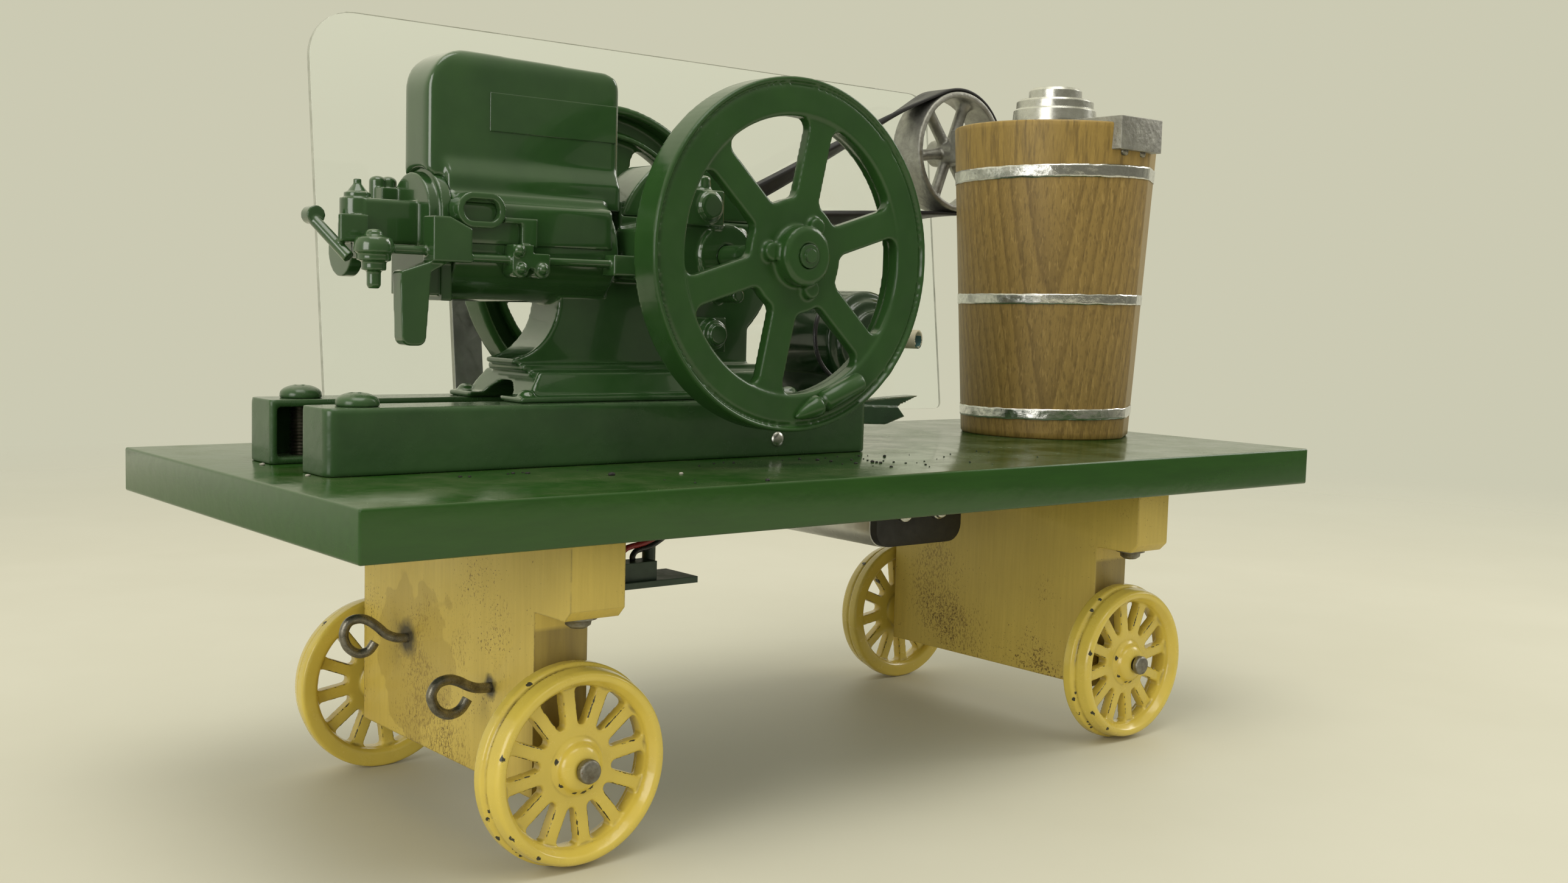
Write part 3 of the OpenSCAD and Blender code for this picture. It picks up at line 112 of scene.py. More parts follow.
class Bench:
    """Places and joins shader nodes in one tree."""

    def __init__(self, tree):
        self.tree = tree

    def feed(self, socket, value):
        """Gives an input socket its value, or joins it to another node's output."""
        if isinstance(value, bpy.types.NodeSocket):
            self.tree.links.new(value, socket)
        else:
            socket.default_value = value

    def put(self, kind, sockets=None, **settings):
        """Places a node with its settings and inputs."""
        node = self.tree.nodes.new(kind)
        for key, value in settings.items():
            setattr(node, key, value)
        for key, value in (sockets or {}).items():
            self.feed(node.inputs[key], value)
        return node

    def give(self, node, **sockets):
        """Feeds a node's inputs; underscores stand for the spaces in their names."""
        for key, value in sockets.items():
            self.feed(node.inputs[key.replace("_", " ")], value)

    def use(self, group, **sockets):
        """Places a shader group with its own values; gives its outputs."""
        node = self.put("ShaderNodeGroup", node_tree=group)
        self.give(node, **sockets)
        return node.outputs

    def here(self):
        """The point that is being shaded, in metres."""
        return self.put("ShaderNodeTexCoord").outputs["Object"]

    def facing(self):
        """The way that the surface faces."""
        return self.put("ShaderNodeNewGeometry").outputs["Normal"]

    def split(self, vector):
        """The X, Y and Z of a vector."""
        return self.put("ShaderNodeSeparateXYZ", {0: vector}).outputs

    def vector(self, operation, a, b):
        """A vector worked out from two others."""
        return self.put("ShaderNodeVectorMath", {0: a, 1: b}, operation=operation).outputs["Vector"]

    def measure(self, operation, a, b=(0.0, 0.0, 0.0)):
        """A number worked out from vectors, such as the distance between them."""
        return self.put("ShaderNodeVectorMath", {0: a, 1: b}, operation=operation).outputs["Value"]

    def math(self, operation, a, b=0.0):
        return self.put("ShaderNodeMath", {0: a, 1: b}, operation=operation).outputs[0]

    def times(self, a, b):
        return self.math("MULTIPLY", a, b)

    def spread(self, value, low, high, to_low=0.0, to_high=1.0):
        """Maps a value from one range to another, and keeps it there."""
        sockets = {"Value": value, "From Min": low, "From Max": high, "To Min": to_low, "To Max": to_high}
        return self.put("ShaderNodeMapRange", sockets).outputs["Result"]

    def blend(self, share, first, second):
        """A share of the second colour over the first."""
        sockets = {0: share, 6: first, 7: second}
        return self.put("ShaderNodeMix", sockets, data_type="RGBA").outputs[2]

    def noise(self, vector, scale, detail=3.0, roughness=0.55, distortion=0.0):
        sockets = {"Vector": vector, "Scale": scale, "Detail": detail, "Roughness": roughness,
                   "Distortion": distortion}
        return self.put("ShaderNodeTexNoise", sockets).outputs["Fac"]


FLOAT, VECTOR = "NodeSocketFloat", "NodeSocketVector"


def new_group(name, inputs, outputs):
    """A shader group with its named inputs and outputs; gives its bench and both ends."""
    tree = bpy.data.node_groups.new(name, "ShaderNodeTree")
    for socket, kind, value in inputs:
        tree.interface.new_socket(name=socket, in_out="INPUT", socket_type=kind).default_value = value
    for socket, kind in outputs:
        tree.interface.new_socket(name=socket, in_out="OUTPUT", socket_type=kind)
    bench = Bench(tree)
    return bench, bench.put("NodeGroupInput").outputs, bench.put("NodeGroupOutput").inputs


def wear_and_hollow_shade_group():
    """Mask of worn edges: strong where the surface turns sharply, broken up by noise. Also a mask of
    hollows, for painted shade with dirt in them.
    """
    bench, taken, given = new_group(
        "worn_edges_and_hollow_shade",
        [("Width", FLOAT, 0.0006), ("Scale", FLOAT, 900.0), ("Amount", FLOAT, 0.5), ("Bend", FLOAT, 0.0)],
        [("Mask", FLOAT), ("Hollow", FLOAT)])
    place_on = bench.here()
    rounded = bench.put("ShaderNodeBevel", {"Radius": taken["Width"]}, samples=4).outputs["Normal"]
    surface = bench.put("ShaderNodeNewGeometry").outputs
    alike = bench.measure("DOT_PRODUCT", rounded, surface["Normal"])
    curve = bench.math("ABSOLUTE", bench.math("SUBTRACT", surface["Pointiness"], 0.5))
    curve = bench.times(bench.spread(curve, 0.010, 0.045), taken["Bend"])
    turning = bench.math("MAXIMUM", bench.spread(alike, 0.995, 0.86), curve)
    broken = bench.noise(place_on, taken["Scale"], 4.0, 0.65)
    patchy = bench.noise(place_on, bench.times(taken["Scale"], 0.17), 2.0)
    cut = bench.math("SUBTRACT", 1.12, taken["Amount"])
    worn = bench.times(bench.math("ADD", broken, bench.times(patchy, 0.6)), turning)
    over = bench.math("SUBTRACT", worn, cut)
    bench.feed(given["Mask"], bench.spread(over, -0.03, 0.05))
    # Hollows (low pointiness): painted shade with dirt, where shade falls in the crevices
    hollow_shade_and_dirt = bench.spread(bench.math("SUBTRACT", 0.5, surface["Pointiness"]), 0.006, 0.035)
    hollow_shade_and_dirt = bench.times(bench.times(hollow_shade_and_dirt, taken["Bend"]), bench.spread(patchy, 0.35, 0.6))
    bench.feed(given["Hollow"], hollow_shade_and_dirt)
    return bench.tree


def soft_edge_group():
    """Normal of a cast or painted surface: rounded edges, and a slight unevenness on the faces."""
    bench, taken, given = new_group(
        "soft_edge",
        [("Radius", FLOAT, 0.0004), ("Scale", FLOAT, 500.0), ("Depth", FLOAT, 0.00005),
         ("Fine", FLOAT, 0.2)],
        [("Normal", VECTOR)])
    place_on = bench.here()
    rounded = bench.put("ShaderNodeBevel", {"Radius": taken["Radius"]}, samples=4).outputs["Normal"]
    broad = bench.noise(place_on, taken["Scale"], 2.0, 0.5)
    fine = bench.noise(place_on, bench.times(taken["Scale"], 7.0), 3.0, 0.6)
    height = bench.math("ADD", broad, bench.times(fine, taken["Fine"]))
    bump = bench.put("ShaderNodeBump", {"Height": height, "Distance": taken["Depth"], "Normal": rounded})
    bench.feed(given["Normal"], bump.outputs["Normal"])
    return bench.tree


def specks_group():
    """Mask of small scattered specks, more of them in some areas than in others."""
    bench, taken, given = new_group(
        "specks",
        [("Scale", FLOAT, 700.0), ("Amount", FLOAT, 0.3), ("Patch Scale", FLOAT, 40.0),
         ("Stretch", VECTOR, (1, 1, 1))],
        [("Mask", FLOAT)])
    place_on = bench.here()
    grit = bench.noise(bench.vector("MULTIPLY", place_on, taken["Stretch"]), taken["Scale"], 2.0, 0.7)
    patch = bench.spread(bench.noise(place_on, taken["Patch Scale"], 3.0), 0.35, 0.7)
    cut = bench.spread(bench.times(patch, taken["Amount"]), 0.0, 1.0, 0.86, 0.52)
    over = bench.math("SUBTRACT", grit, cut)
    bench.feed(given["Mask"], bench.spread(over, 0.0, 0.04))
    return bench.tree


def wood_rings_group():
    """Growth rings round an upright pith, with pores drawn out along the grain."""
    bench, taken, given = new_group(
        "wood_rings",
        [("Pith", VECTOR, (0, 0, 0)), ("Along", VECTOR, (1, 1, 0.12)), ("Rings", FLOAT, 240.0),
         ("Wander", FLOAT, 0.004), ("Slope", FLOAT, 0.0)],
        [("Rings", FLOAT), ("Pores", FLOAT), ("Cloud", FLOAT)])
    place_on = bench.here()
    drawn = bench.vector("MULTIPLY", bench.vector("SUBTRACT", place_on, taken["Pith"]), taken["Along"])
    sockets = {"Vector": drawn, "Scale": 45.0, "Detail": 3.0}
    wander = bench.put("ShaderNodeTexNoise", sockets).outputs["Color"]
    wander = bench.vector("SUBTRACT", wander, (0.5, 0.5, 0.5))
    sockets = {0: wander, "Scale": taken["Wander"]}
    wander = bench.put("ShaderNodeVectorMath", sockets, operation="SCALE").outputs["Vector"]
    reach = bench.measure("LENGTH", bench.vector("ADD", drawn, wander))
    reach = bench.math("ADD", reach, bench.times(bench.split(place_on)["Z"], taken["Slope"]))
    phase = bench.math("FRACT", bench.times(reach, taken["Rings"]))
    ring = bench.math("POWER", bench.math("PINGPONG", phase, 1.0), 2.2)
    late = bench.spread(bench.math("SUBTRACT", 1.0, phase), 0.0, 0.12)
    rings = bench.times(ring, late)
    fibre = bench.vector("MULTIPLY", place_on, (1.0, 1.0, 0.04))
    pores = bench.spread(bench.noise(fibre, 2600.0, 2.0, 0.6), 0.62, 0.78)
    cloud = bench.noise(drawn, 60.0, 3.0, 0.6)
    for socket, value in (("Rings", rings), ("Pores", pores), ("Cloud", cloud)):
        bench.feed(given[socket], value)
    return bench.tree


def dust_group():
    """Mask of dust and dirt that settles on surfaces facing up."""
    bench, taken, given = new_group(
        "settled_dust",
        [("Scale", FLOAT, 120.0), ("Amount", FLOAT, 0.5)],
        [("Mask", FLOAT)])
    place_on = bench.here()
    up = bench.spread(bench.split(bench.facing())["Z"], 0.6, 0.95)
    cloud = bench.spread(bench.noise(place_on, taken["Scale"], 5.0, 0.7), 0.4, 0.8)
    bench.feed(given["Mask"], bench.times(bench.times(up, cloud), taken["Amount"]))
    return bench.tree


WORN_EDGES_AND_HOLLOW_SHADE = wear_and_hollow_shade_group()
SOFT_EDGE = soft_edge_group()
SPECKS = specks_group()
WOOD_RINGS = wood_rings_group()
SETTLED_DUST = dust_group()


# ---- Paints ----

# Every paint by its name; all but a few share the name of the slot that they belong to.
FINISH = {}


def new_material(name):
    """A paint that is kept by its name; gives its bench, its shader and its output node."""
    material = FINISH[name] = bpy.data.materials.new(name)
    material.use_nodes = True
    material.node_tree.nodes.clear()
    bench = Bench(material.node_tree)
    shader = bench.put("ShaderNodeBsdfPrincipled")
    return bench, shader, bench.put("ShaderNodeOutputMaterial", {"Surface": shader.outputs[0]})


def colour(red, green, blue):
    return (red, green, blue, 1.0)


def enamel(name, paint, shade, gloss=0.16, radius=0.0004, uneven=0.00004, wear=0.0,
           bare=colour(0.02, 0.02, 0.02), dust=0.0, coat=0.35, bend=0.0):
    """Thick glossy enamel on a casting: cloudy tone, soft edges, chips, painted shade with dirt in the
    hollows, and settled dust.
    """
    bench, shader, _ = new_material(name)
    place_on = bench.here()
    cloud = bench.spread(bench.noise(place_on, 70.0, 3.0), 0.3, 0.7)
    tone = bench.blend(cloud, paint, shade)
    rough = bench.spread(bench.noise(place_on, 240.0, 4.0, 0.65), 0.3, 0.75, gloss, gloss + 0.14)
    if wear:
        worn = bench.use(WORN_EDGES_AND_HOLLOW_SHADE, Width=0.0007, Scale=750.0, Amount=wear, Bend=bend)
        chipped = worn["Mask"]
        # painted shade with dirt: the hollows are darkened brown, where shade falls in the crevices
        tone = bench.blend(bench.times(worn["Hollow"], 0.8), tone, colour(0.11, 0.07, 0.02))
        tone = bench.blend(chipped, tone, bare)
        rough = bench.math("MAXIMUM", rough, bench.times(chipped, 0.6))
    if dust:
        settled = bench.use(SETTLED_DUST, Scale=210.0, Amount=dust)["Mask"]
        tone = bench.blend(settled, tone, colour(0.22, 0.22, 0.17))
        rough = bench.math("MAXIMUM", rough, bench.times(settled, 0.8))
    normal = bench.use(SOFT_EDGE, Radius=radius, Scale=330.0, Depth=uneven, Fine=0.06)["Normal"]
    bench.give(shader, Base_Color=tone, Roughness=rough, Normal=normal, Coat_Weight=coat,
               Coat_Roughness=0.05)


def bare_metal(name, light, dark, rough=0.35, scale=500.0, depth=0.00005, metallic=1.0, rust=0.0):
    """Bare or silvered metal with a cloudy tone, a rough skin and spots of rust."""
    bench, shader, _ = new_material(name)
    place_on = bench.here()
    cloud = bench.spread(bench.noise(place_on, scale * 0.4, 4.0, 0.65), 0.3, 0.7)
    tone = bench.blend(cloud, light, dark)
    metal = metallic
    if rust:
        spots = bench.use(SPECKS, Scale=scale * 1.6, Amount=rust, Patch_Scale=scale * 0.3)["Mask"]
        tone = bench.blend(spots, tone, colour(0.13, 0.07, 0.03))
        metal = bench.times(bench.math("SUBTRACT", 1.0, spots), metallic)
    uneven = bench.spread(bench.noise(place_on, scale, 4.0, 0.7), 0.25, 0.75, rough - 0.08, rough + 0.14)
    normal = bench.use(SOFT_EDGE, Radius=0.0003, Scale=scale, Depth=depth, Fine=0.35)["Normal"]
    bench.give(shader, Base_Color=tone, Roughness=uneven, Metallic=metal, Normal=normal)


def plastic(name, tone, rough=0.35):
    """Plain plastic or rubber, slightly cloudy."""
    bench, shader, _ = new_material(name)
    place_on = bench.here()
    cloud = bench.spread(bench.noise(place_on, 300.0, 4.0, 0.7), 0.3, 0.75)
    darker = tuple(c * 0.72 for c in tone[:3]) + (1.0,)
    normal = bench.use(SOFT_EDGE, Radius=0.0003, Scale=900.0, Depth=0.00002, Fine=0.3)["Normal"]
    bench.give(shader, Base_Color=bench.blend(cloud, tone, darker), Normal=normal,
               Roughness=bench.spread(cloud, 0.0, 1.0, rough - 0.06, rough + 0.12))


def deck_paint():
    """Green paint on a board: satin, dusty on top, grime round the engine, faint grain along the board."""
    bench, shader, _ = new_material("deck_paint")
    place_on = bench.here()
    drawn = bench.vector("MULTIPLY", place_on, (0.12, 1.0, 1.0))
    streak = bench.spread(bench.noise(drawn, 420.0, 4.0, 0.65), 0.3, 0.75)
    tone = bench.blend(streak, colour(0.020, 0.072, 0.0085), colour(0.016, 0.058, 0.0075))
    grime = bench.use(SPECKS, Scale=1500.0, Amount=0.5, Patch_Scale=28.0)["Mask"]
    spot = bench.split(place_on)
    middle = place(-10, -8, 0)
    off_x = bench.times(bench.math("SUBTRACT", spot["X"], middle.x), 7.5)
    off_y = bench.times(bench.math("SUBTRACT", spot["Y"], middle.y), 19.0)
    away = bench.math("ADD", bench.times(off_x, off_x), bench.times(off_y, off_y))
    near_engine = bench.spread(away, 1.4, 0.3)
    up = bench.spread(bench.split(bench.facing())["Z"], 0.5, 0.9)
    grime = bench.times(bench.times(grime, near_engine), up)
    film = bench.use(SETTLED_DUST, Scale=60.0, Amount=0.55)["Mask"]
    grit = bench.use(SPECKS, Scale=2600.0, Amount=0.75, Patch_Scale=22.0)["Mask"]
    film = bench.math("MAXIMUM", film, bench.times(bench.times(grit, up), 0.7))
    tone = bench.blend(film, tone, colour(0.12, 0.135, 0.065))
    tone = bench.blend(grime, tone, colour(0.012, 0.012, 0.009))
    rough = bench.math("MAXIMUM", bench.spread(film, 0.0, 0.5, 0.13, 0.34), bench.times(grime, 0.8))
    worn = bench.use(WORN_EDGES_AND_HOLLOW_SHADE, Width=0.0008, Scale=600.0, Amount=0.30)["Mask"]
    tone = bench.blend(worn, tone, colour(0.06, 0.11, 0.05))
    normal = bench.use(SOFT_EDGE, Radius=0.0006, Scale=260.0, Depth=0.00005, Fine=0.1)["Normal"]
    bench.give(shader, Base_Color=tone, Roughness=rough, Normal=normal)


def truck_paint():
    """Yellow wash on beech beams and boards: grain shows through, with dark flecks and grime, and painted
    shade with dirt on the boards' end faces under the beams.
    """
    bench, shader, _ = new_material("truck_paint")
    place_on = bench.here()
    drawn = bench.vector("MULTIPLY", place_on, (1.0, 1.0, 0.07))
    fibre = bench.spread(bench.noise(drawn, 900.0, 4.0, 0.6), 0.3, 0.75)
    cloud = bench.spread(bench.noise(place_on, 45.0, 4.0, 0.6), 0.3, 0.7)
    tone = bench.blend(fibre, colour(0.63, 0.475, 0.094), colour(0.55, 0.41, 0.077))
    tone = bench.blend(bench.times(cloud, 0.3), tone, colour(0.43, 0.31, 0.068))
    # painted shade with dirt: the boards' end faces, recessed under the beams' ends, are darkened brown
    # towards the bottom
    end_grain = bench.spread(bench.math("ABSOLUTE", bench.split(bench.facing())["Y"]), 0.6, 0.85)
    beam_foot = 50.0
    height = bench.split(place_on)["Z"]
    under_beam = bench.spread(height, (beam_foot + 0.5) * MM, (beam_foot - 0.5) * MM)
    uneven = bench.spread(bench.noise(drawn, 260.0, 4.0, 0.65), 0.2, 0.7, 0.45, 0.9)
    lower = bench.times(bench.times(end_grain, under_beam), uneven)
    tone = bench.blend(lower, tone, colour(0.20, 0.145, 0.045))
    varnish_run = place(-98.5, 14, 34)
    varnish = bench.measure("DISTANCE", place_on, tuple(varnish_run))
    varnish = bench.math("ADD", varnish, bench.times(bench.noise(place_on, 95.0, 2.0), -0.03))
    tone = bench.blend(bench.spread(varnish, 0.0035, 0.0025, 0.0, 0.5), tone, colour(0.37, 0.26, 0.045))
    flecks = bench.use(SPECKS, Scale=2300.0, Amount=1.15, Patch_Scale=26.0, Stretch=(1.0, 1.0, 0.4))["Mask"]
    dots = bench.use(SPECKS, Scale=1500.0, Amount=1.1, Patch_Scale=30.0)["Mask"]
    tone = bench.blend(bench.times(flecks, 0.65), tone, colour(0.22, 0.135, 0.022))
    tone = bench.blend(bench.times(dots, 0.85), tone, colour(0.12, 0.065, 0.012))
    # painted shade: each closed hole's mouth is painted dark, spreading into a stain round it
    for x, y, z, spread in HOOK_HOLES:
        apart = bench.measure("DISTANCE", place_on, tuple(place(x, y, z)))
        ragged = bench.math("ADD", apart, bench.times(bench.noise(place_on, 500.0, 3.0), -0.0022))
        hole_shade_and_stain = bench.spread(ragged, spread * MM, spread * 0.3 * MM)
        tone = bench.blend(bench.times(hole_shade_and_stain, 0.92), tone, colour(0.02, 0.018, 0.014))
    worn = bench.use(WORN_EDGES_AND_HOLLOW_SHADE, Width=0.0007, Scale=500.0, Amount=0.36)["Mask"]
    tone = bench.blend(bench.times(worn, 0.7), tone, colour(0.12, 0.09, 0.04))
    normal = bench.use(SOFT_EDGE, Radius=0.0005, Scale=700.0, Depth=0.00004, Fine=0.4)["Normal"]
    bench.give(shader, Base_Color=tone, Roughness=bench.spread(cloud, 0.0, 1.0, 0.38, 0.55),
               Normal=normal, Coat_Weight=0.12, Coat_Roughness=0.3)


def tub_wood():
    """Varnished tub wood: arched growth rings on the front, fine upright pores, and painted light on the
    flat side.
    """
    bench, shader, _ = new_material("tub_wood")
    parts = bench.use(WOOD_RINGS, Pith=tuple(place(98.6, -5.9, 50)), Along=(1.0, 1.0, 0.07), Rings=430.0,
                      Wander=0.0035, Slope=-0.15)
    tone = bench.blend(bench.times(parts["Rings"], 0.9), colour(0.295, 0.190, 0.042),
                       colour(0.132, 0.077, 0.014))
    tone = bench.blend(bench.spread(parts["Cloud"], 0.35, 0.75, 0.0, 0.42), tone, colour(0.26, 0.168, 0.040))
    place_on = bench.here()
    upright = bench.vector("MULTIPLY", place_on, (1.0, 1.0, 0.1))
    dashes = bench.vector("MULTIPLY", place_on, (1.0, 1.0, 0.22))
    dark_dash = bench.spread(bench.noise(dashes, 1500.0, 3.0, 0.65), 0.5, 0.68, 0.0, 0.6)
    light_dash = bench.spread(bench.noise(dashes, 1150.0, 2.0, 0.6, 0.4), 0.56, 0.7, 0.0, 0.4)
    tone = bench.blend(dark_dash, tone, colour(0.11, 0.066, 0.013))
    tone = bench.blend(light_dash, tone, colour(0.48, 0.32, 0.09))
    faded_from, faded_full = 157, 164
    above = bench.spread(bench.split(place_on)["Z"], faded_from * MM, faded_full * MM)
    streaks = bench.spread(bench.noise(upright, 620.0, 3.0, 0.6), 0.5, 0.66)
    tone = bench.blend(bench.times(above, 0.55), tone, colour(0.36, 0.235, 0.045))
    tone = bench.blend(bench.times(bench.times(above, streaks), 0.6), tone,
                       colour(0.10, 0.06, 0.014))
    # painted light: the flat side is painted lighter, as the light from the right falls on it
    flat_side = (math.cos(TUB_FLAT_TURN), math.sin(TUB_FLAT_TURN), 0.0)
    on_flat = bench.measure("DOT_PRODUCT", bench.facing(), flat_side)
    tone = bench.blend(bench.spread(on_flat, 0.978, 0.99, 0.0, 0.4), tone, colour(0.36, 0.25, 0.075))
    tone = bench.blend(bench.times(parts["Pores"], 0.6), tone, colour(0.075, 0.038, 0.010))
    worn = bench.use(WORN_EDGES_AND_HOLLOW_SHADE, Width=0.0008, Scale=500.0, Amount=0.32)["Mask"]
    tone = bench.blend(bench.times(worn, 0.5), tone, colour(0.38, 0.24, 0.10))
    normal = bench.put("ShaderNodeBump", {"Height": parts["Pores"], "Distance": -0.00004})
    bench.give(shader, Base_Color=tone, Roughness=0.5, Normal=normal.outputs["Normal"], Coat_Weight=0.06,
               Coat_Roughness=0.3)


def clear_acrylic():
    """Clear sheet that bends what is seen through it and lets light through to the floor."""
    bench, shader, out = new_material("clear_acrylic")
    bench.give(shader, Base_Color=colour(0.93, 0.96, 0.93), Roughness=0.02, IOR=1.45,
               Transmission_Weight=1.0)
    through = bench.put("ShaderNodeBsdfTransparent", {"Color": colour(0.95, 0.96, 0.94)})
    path = bench.put("ShaderNodeLightPath").outputs
    light = bench.math("MAXIMUM", path["Is Shadow Ray"], path["Is Diffuse Ray"])
    mixed = bench.put("ShaderNodeMixShader", {0: light, 1: shader.outputs[0], 2: through.outputs[0]})
    bench.feed(out.inputs["Surface"], mixed.outputs[0])


def cut_edge():
    """The sawn and scraped edge of the clear sheet."""
    bench, shader, _ = new_material("cut_edge")
    place_on = bench.here()
    cloud = bench.spread(bench.noise(place_on, 160.0, 4.0, 0.7), 0.3, 0.7)
    tone = bench.blend(cloud, colour(0.36, 0.37, 0.29), colour(0.24, 0.25, 0.19))
    bench.give(shader, Base_Color=tone, Roughness=0.35, Alpha=bench.spread(cloud, 0.0, 1.0, 0.6, 0.9))


def foil():
    """Thin aluminium foil, pressed into fine creases."""
    bench, shader, _ = new_material("hoop_foil")
    place_on = bench.here()
    sockets = {"Vector": place_on, "Scale": 260.0}
    creases = bench.put("ShaderNodeTexVoronoi", sockets, feature="F1").outputs["Distance"]
    fine = bench.noise(place_on, 1100.0, 4.0, 0.7)
    height = bench.math("ADD", creases, bench.times(fine, 0.5))
    bump = bench.put("ShaderNodeBump", {"Height": height, "Distance": 0.0005, "Strength": 0.3})
    tone = bench.blend(bench.spread(fine, 0.35, 0.7), colour(0.70, 0.70, 0.665), colour(0.52, 0.52, 0.49))
    bench.give(shader, Base_Color=tone, Metallic=1.0, Roughness=bench.spread(fine, 0.3, 0.7, 0.11, 0.27),
               Normal=bump.outputs["Normal"])


enamel("engine_enamel", colour(0.029, 0.077, 0.020), colour(0.021, 0.060, 0.016), gloss=0.12, wear=0.22,
       bare=colour(0.012, 0.02, 0.01), coat=0.8)
enamel("flywheel_enamel", colour(0.024, 0.071, 0.015), colour(0.018, 0.056, 0.012), gloss=0.14,
       radius=0.0005, uneven=0.00003, wear=0.30, bare=colour(0.06, 0.10, 0.05), dust=0.1, coat=0.0)
enamel("skid_enamel", colour(0.034, 0.086, 0.024), colour(0.024, 0.064, 0.018), gloss=0.18, radius=0.0006,
       uneven=0.00010, wear=0.30, bare=colour(0.02, 0.03, 0.014), dust=0.35, coat=0.2)
enamel("motor_enamel", colour(0.011, 0.034, 0.009), colour(0.007, 0.023, 0.006), gloss=0.15)
enamel("wheel_enamel", colour(0.70, 0.54, 0.088), colour(0.61, 0.465, 0.078), gloss=0.18, wear=0.47,
       bare=colour(0.030, 0.028, 0.012), coat=0.3, bend=1.0)
deck_paint()
truck_paint()
tub_wood()
bare_metal("screw_steel", colour(0.36, 0.35, 0.31), colour(0.16, 0.14, 0.11), rough=0.42, scale=900.0,
           depth=0.00012, rust=0.6)
bare_metal("hook_steel", colour(0.30, 0.28, 0.23), colour(0.11, 0.10, 0.08), rough=0.26, scale=900.0,
           depth=0.00006, metallic=0.85, rust=0.4)
bare_metal("battery_shell", colour(0.62, 0.62, 0.60), colour(0.5, 0.5, 0.48), rough=0.3, scale=300.0,
           depth=0.00001)
bare_metal("bright_metal", colour(0.66, 0.66, 0.61), colour(0.52, 0.52, 0.48), rough=0.26, depth=0.00001)
plastic("switch_plastic", colour(0.025, 0.05, 0.03))
plastic("wire_cover", colour(0.015, 0.015, 0.015), 0.25)
plastic("red_wire", colour(0.25, 0.02, 0.02), 0.25)
plastic("battery_end", colour(0.0045, 0.0045, 0.0045), 0.42)
plastic("crumb", colour(0.016, 0.015, 0.012), 0.6)
plastic("pale_chip", colour(0.42, 0.40, 0.32), 0.6)
bare_metal("thread_steel", colour(0.13, 0.115, 0.09), colour(0.05, 0.042, 0.03), rough=0.36, scale=900.0,
           metallic=0.8, rust=0.3)
clear_acrylic()
cut_edge()
bare_metal("post_metal", colour(0.42, 0.42, 0.38), colour(0.32, 0.32, 0.29), rough=0.4, scale=400.0,
           depth=0.00002)
plastic("sleeve_plastic", colour(0.62, 0.57, 0.40), 0.3)
plastic("sleeve_inside", colour(0.02, 0.10, 0.09), 0.4)
enamel("clip_metal", colour(0.02, 0.065, 0.02), colour(0.010, 0.035, 0.011), gloss=0.18, radius=0.0003,
       uneven=0.00008, wear=0.4, bare=colour(0.25, 0.2, 0.1))
plastic("belt_rubber", colour(0.017, 0.017, 0.017), 0.45)
bare_metal("grey_casting", colour(0.43, 0.425, 0.38), colour(0.27, 0.265, 0.24), rough=0.42, scale=650.0,
           depth=0.00022, metallic=0.85)
foil()


# ---- Making pieces ----


def mesh_piece(name, points, faces, smooth=True):
    """A new piece from points in metres and its faces."""
    mesh = bpy.data.meshes.new(name)
    mesh.from_pydata([tuple(p) for p in points], [], faces)
    mesh.update()
    if smooth:
        mesh.shade_smooth()
    return add_object(name, mesh)


def from_solids(name, *nodes):
    """A new piece with the faces of some of the toy's solids."""
    mesh = bpy.data.meshes.new(name)
    faces = bmesh.new()
    for node in nodes:
        faces.from_mesh(frame["nodes"][node].data)
    bmesh.ops.remove_doubles(faces, verts=faces.verts, dist=2e-6)
    bmesh.ops.dissolve_degenerate(faces, edges=faces.edges, dist=1e-6)
    faces.to_mesh(mesh)
    faces.free()
    return add_object(name, mesh)


def join(name, pieces):
    """Several meshes made into one piece."""
    joined = bmesh.new()
    for piece in pieces:
        joined.from_mesh(piece.data)
        bpy.data.objects.remove(piece)
    mesh = bpy.data.meshes.new(name)
    joined.to_mesh(mesh)
    joined.free()
    mesh.shade_smooth()
    return add_object(name, mesh)


def modify(piece, kind, **settings):
    """Adds a modifier to a piece."""
    added = piece.modifiers.new(kind.lower(), kind)
    for key, value in settings.items():
        setattr(added, key, value)


def worked_mesh(piece):
    """A copy of a piece's mesh with its modifiers or its curve worked in."""
    bpy.context.view_layer.update()
    return bpy.data.meshes.new_from_object(piece.evaluated_get(bpy.context.evaluated_depsgraph_get()))


def settle(piece):
    """Works a piece's modifiers into its mesh."""
    worked = worked_mesh(piece)
    piece.modifiers.clear()
    piece.data = worked
    return piece


def finish(piece, slot, body=STAND, nodes=(), paint=None):
    """Paints a piece with its slot's paint or another, lets it ride on a body and hides the solids it stands
    for.
    """
    piece.data.materials.clear()
    piece.data.materials.append(FINISH[paint or slot])
    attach(piece, body)
    if nodes:
        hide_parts(*nodes)


def casting(name, slot, grain, passes, most_faces, *nodes, body=STAND, paint=None):
    """One skin over some solids, with soft edges and fillets where they meet, as cast and painted."""
    piece = from_solids(name, *nodes)
    modify(piece, "REMESH", mode="VOXEL", voxel_size=grain * MM, use_smooth_shade=True)
    modify(piece, "SMOOTH", factor=0.5, iterations=passes)
    settle(piece)
    triangles = len(piece.data.polygons) * 2
    if triangles > most_faces:
        modify(piece, "DECIMATE", ratio=most_faces / triangles)
        settle(piece)
    piece.data.shade_smooth()
    finish(piece, slot, body, nodes, paint)


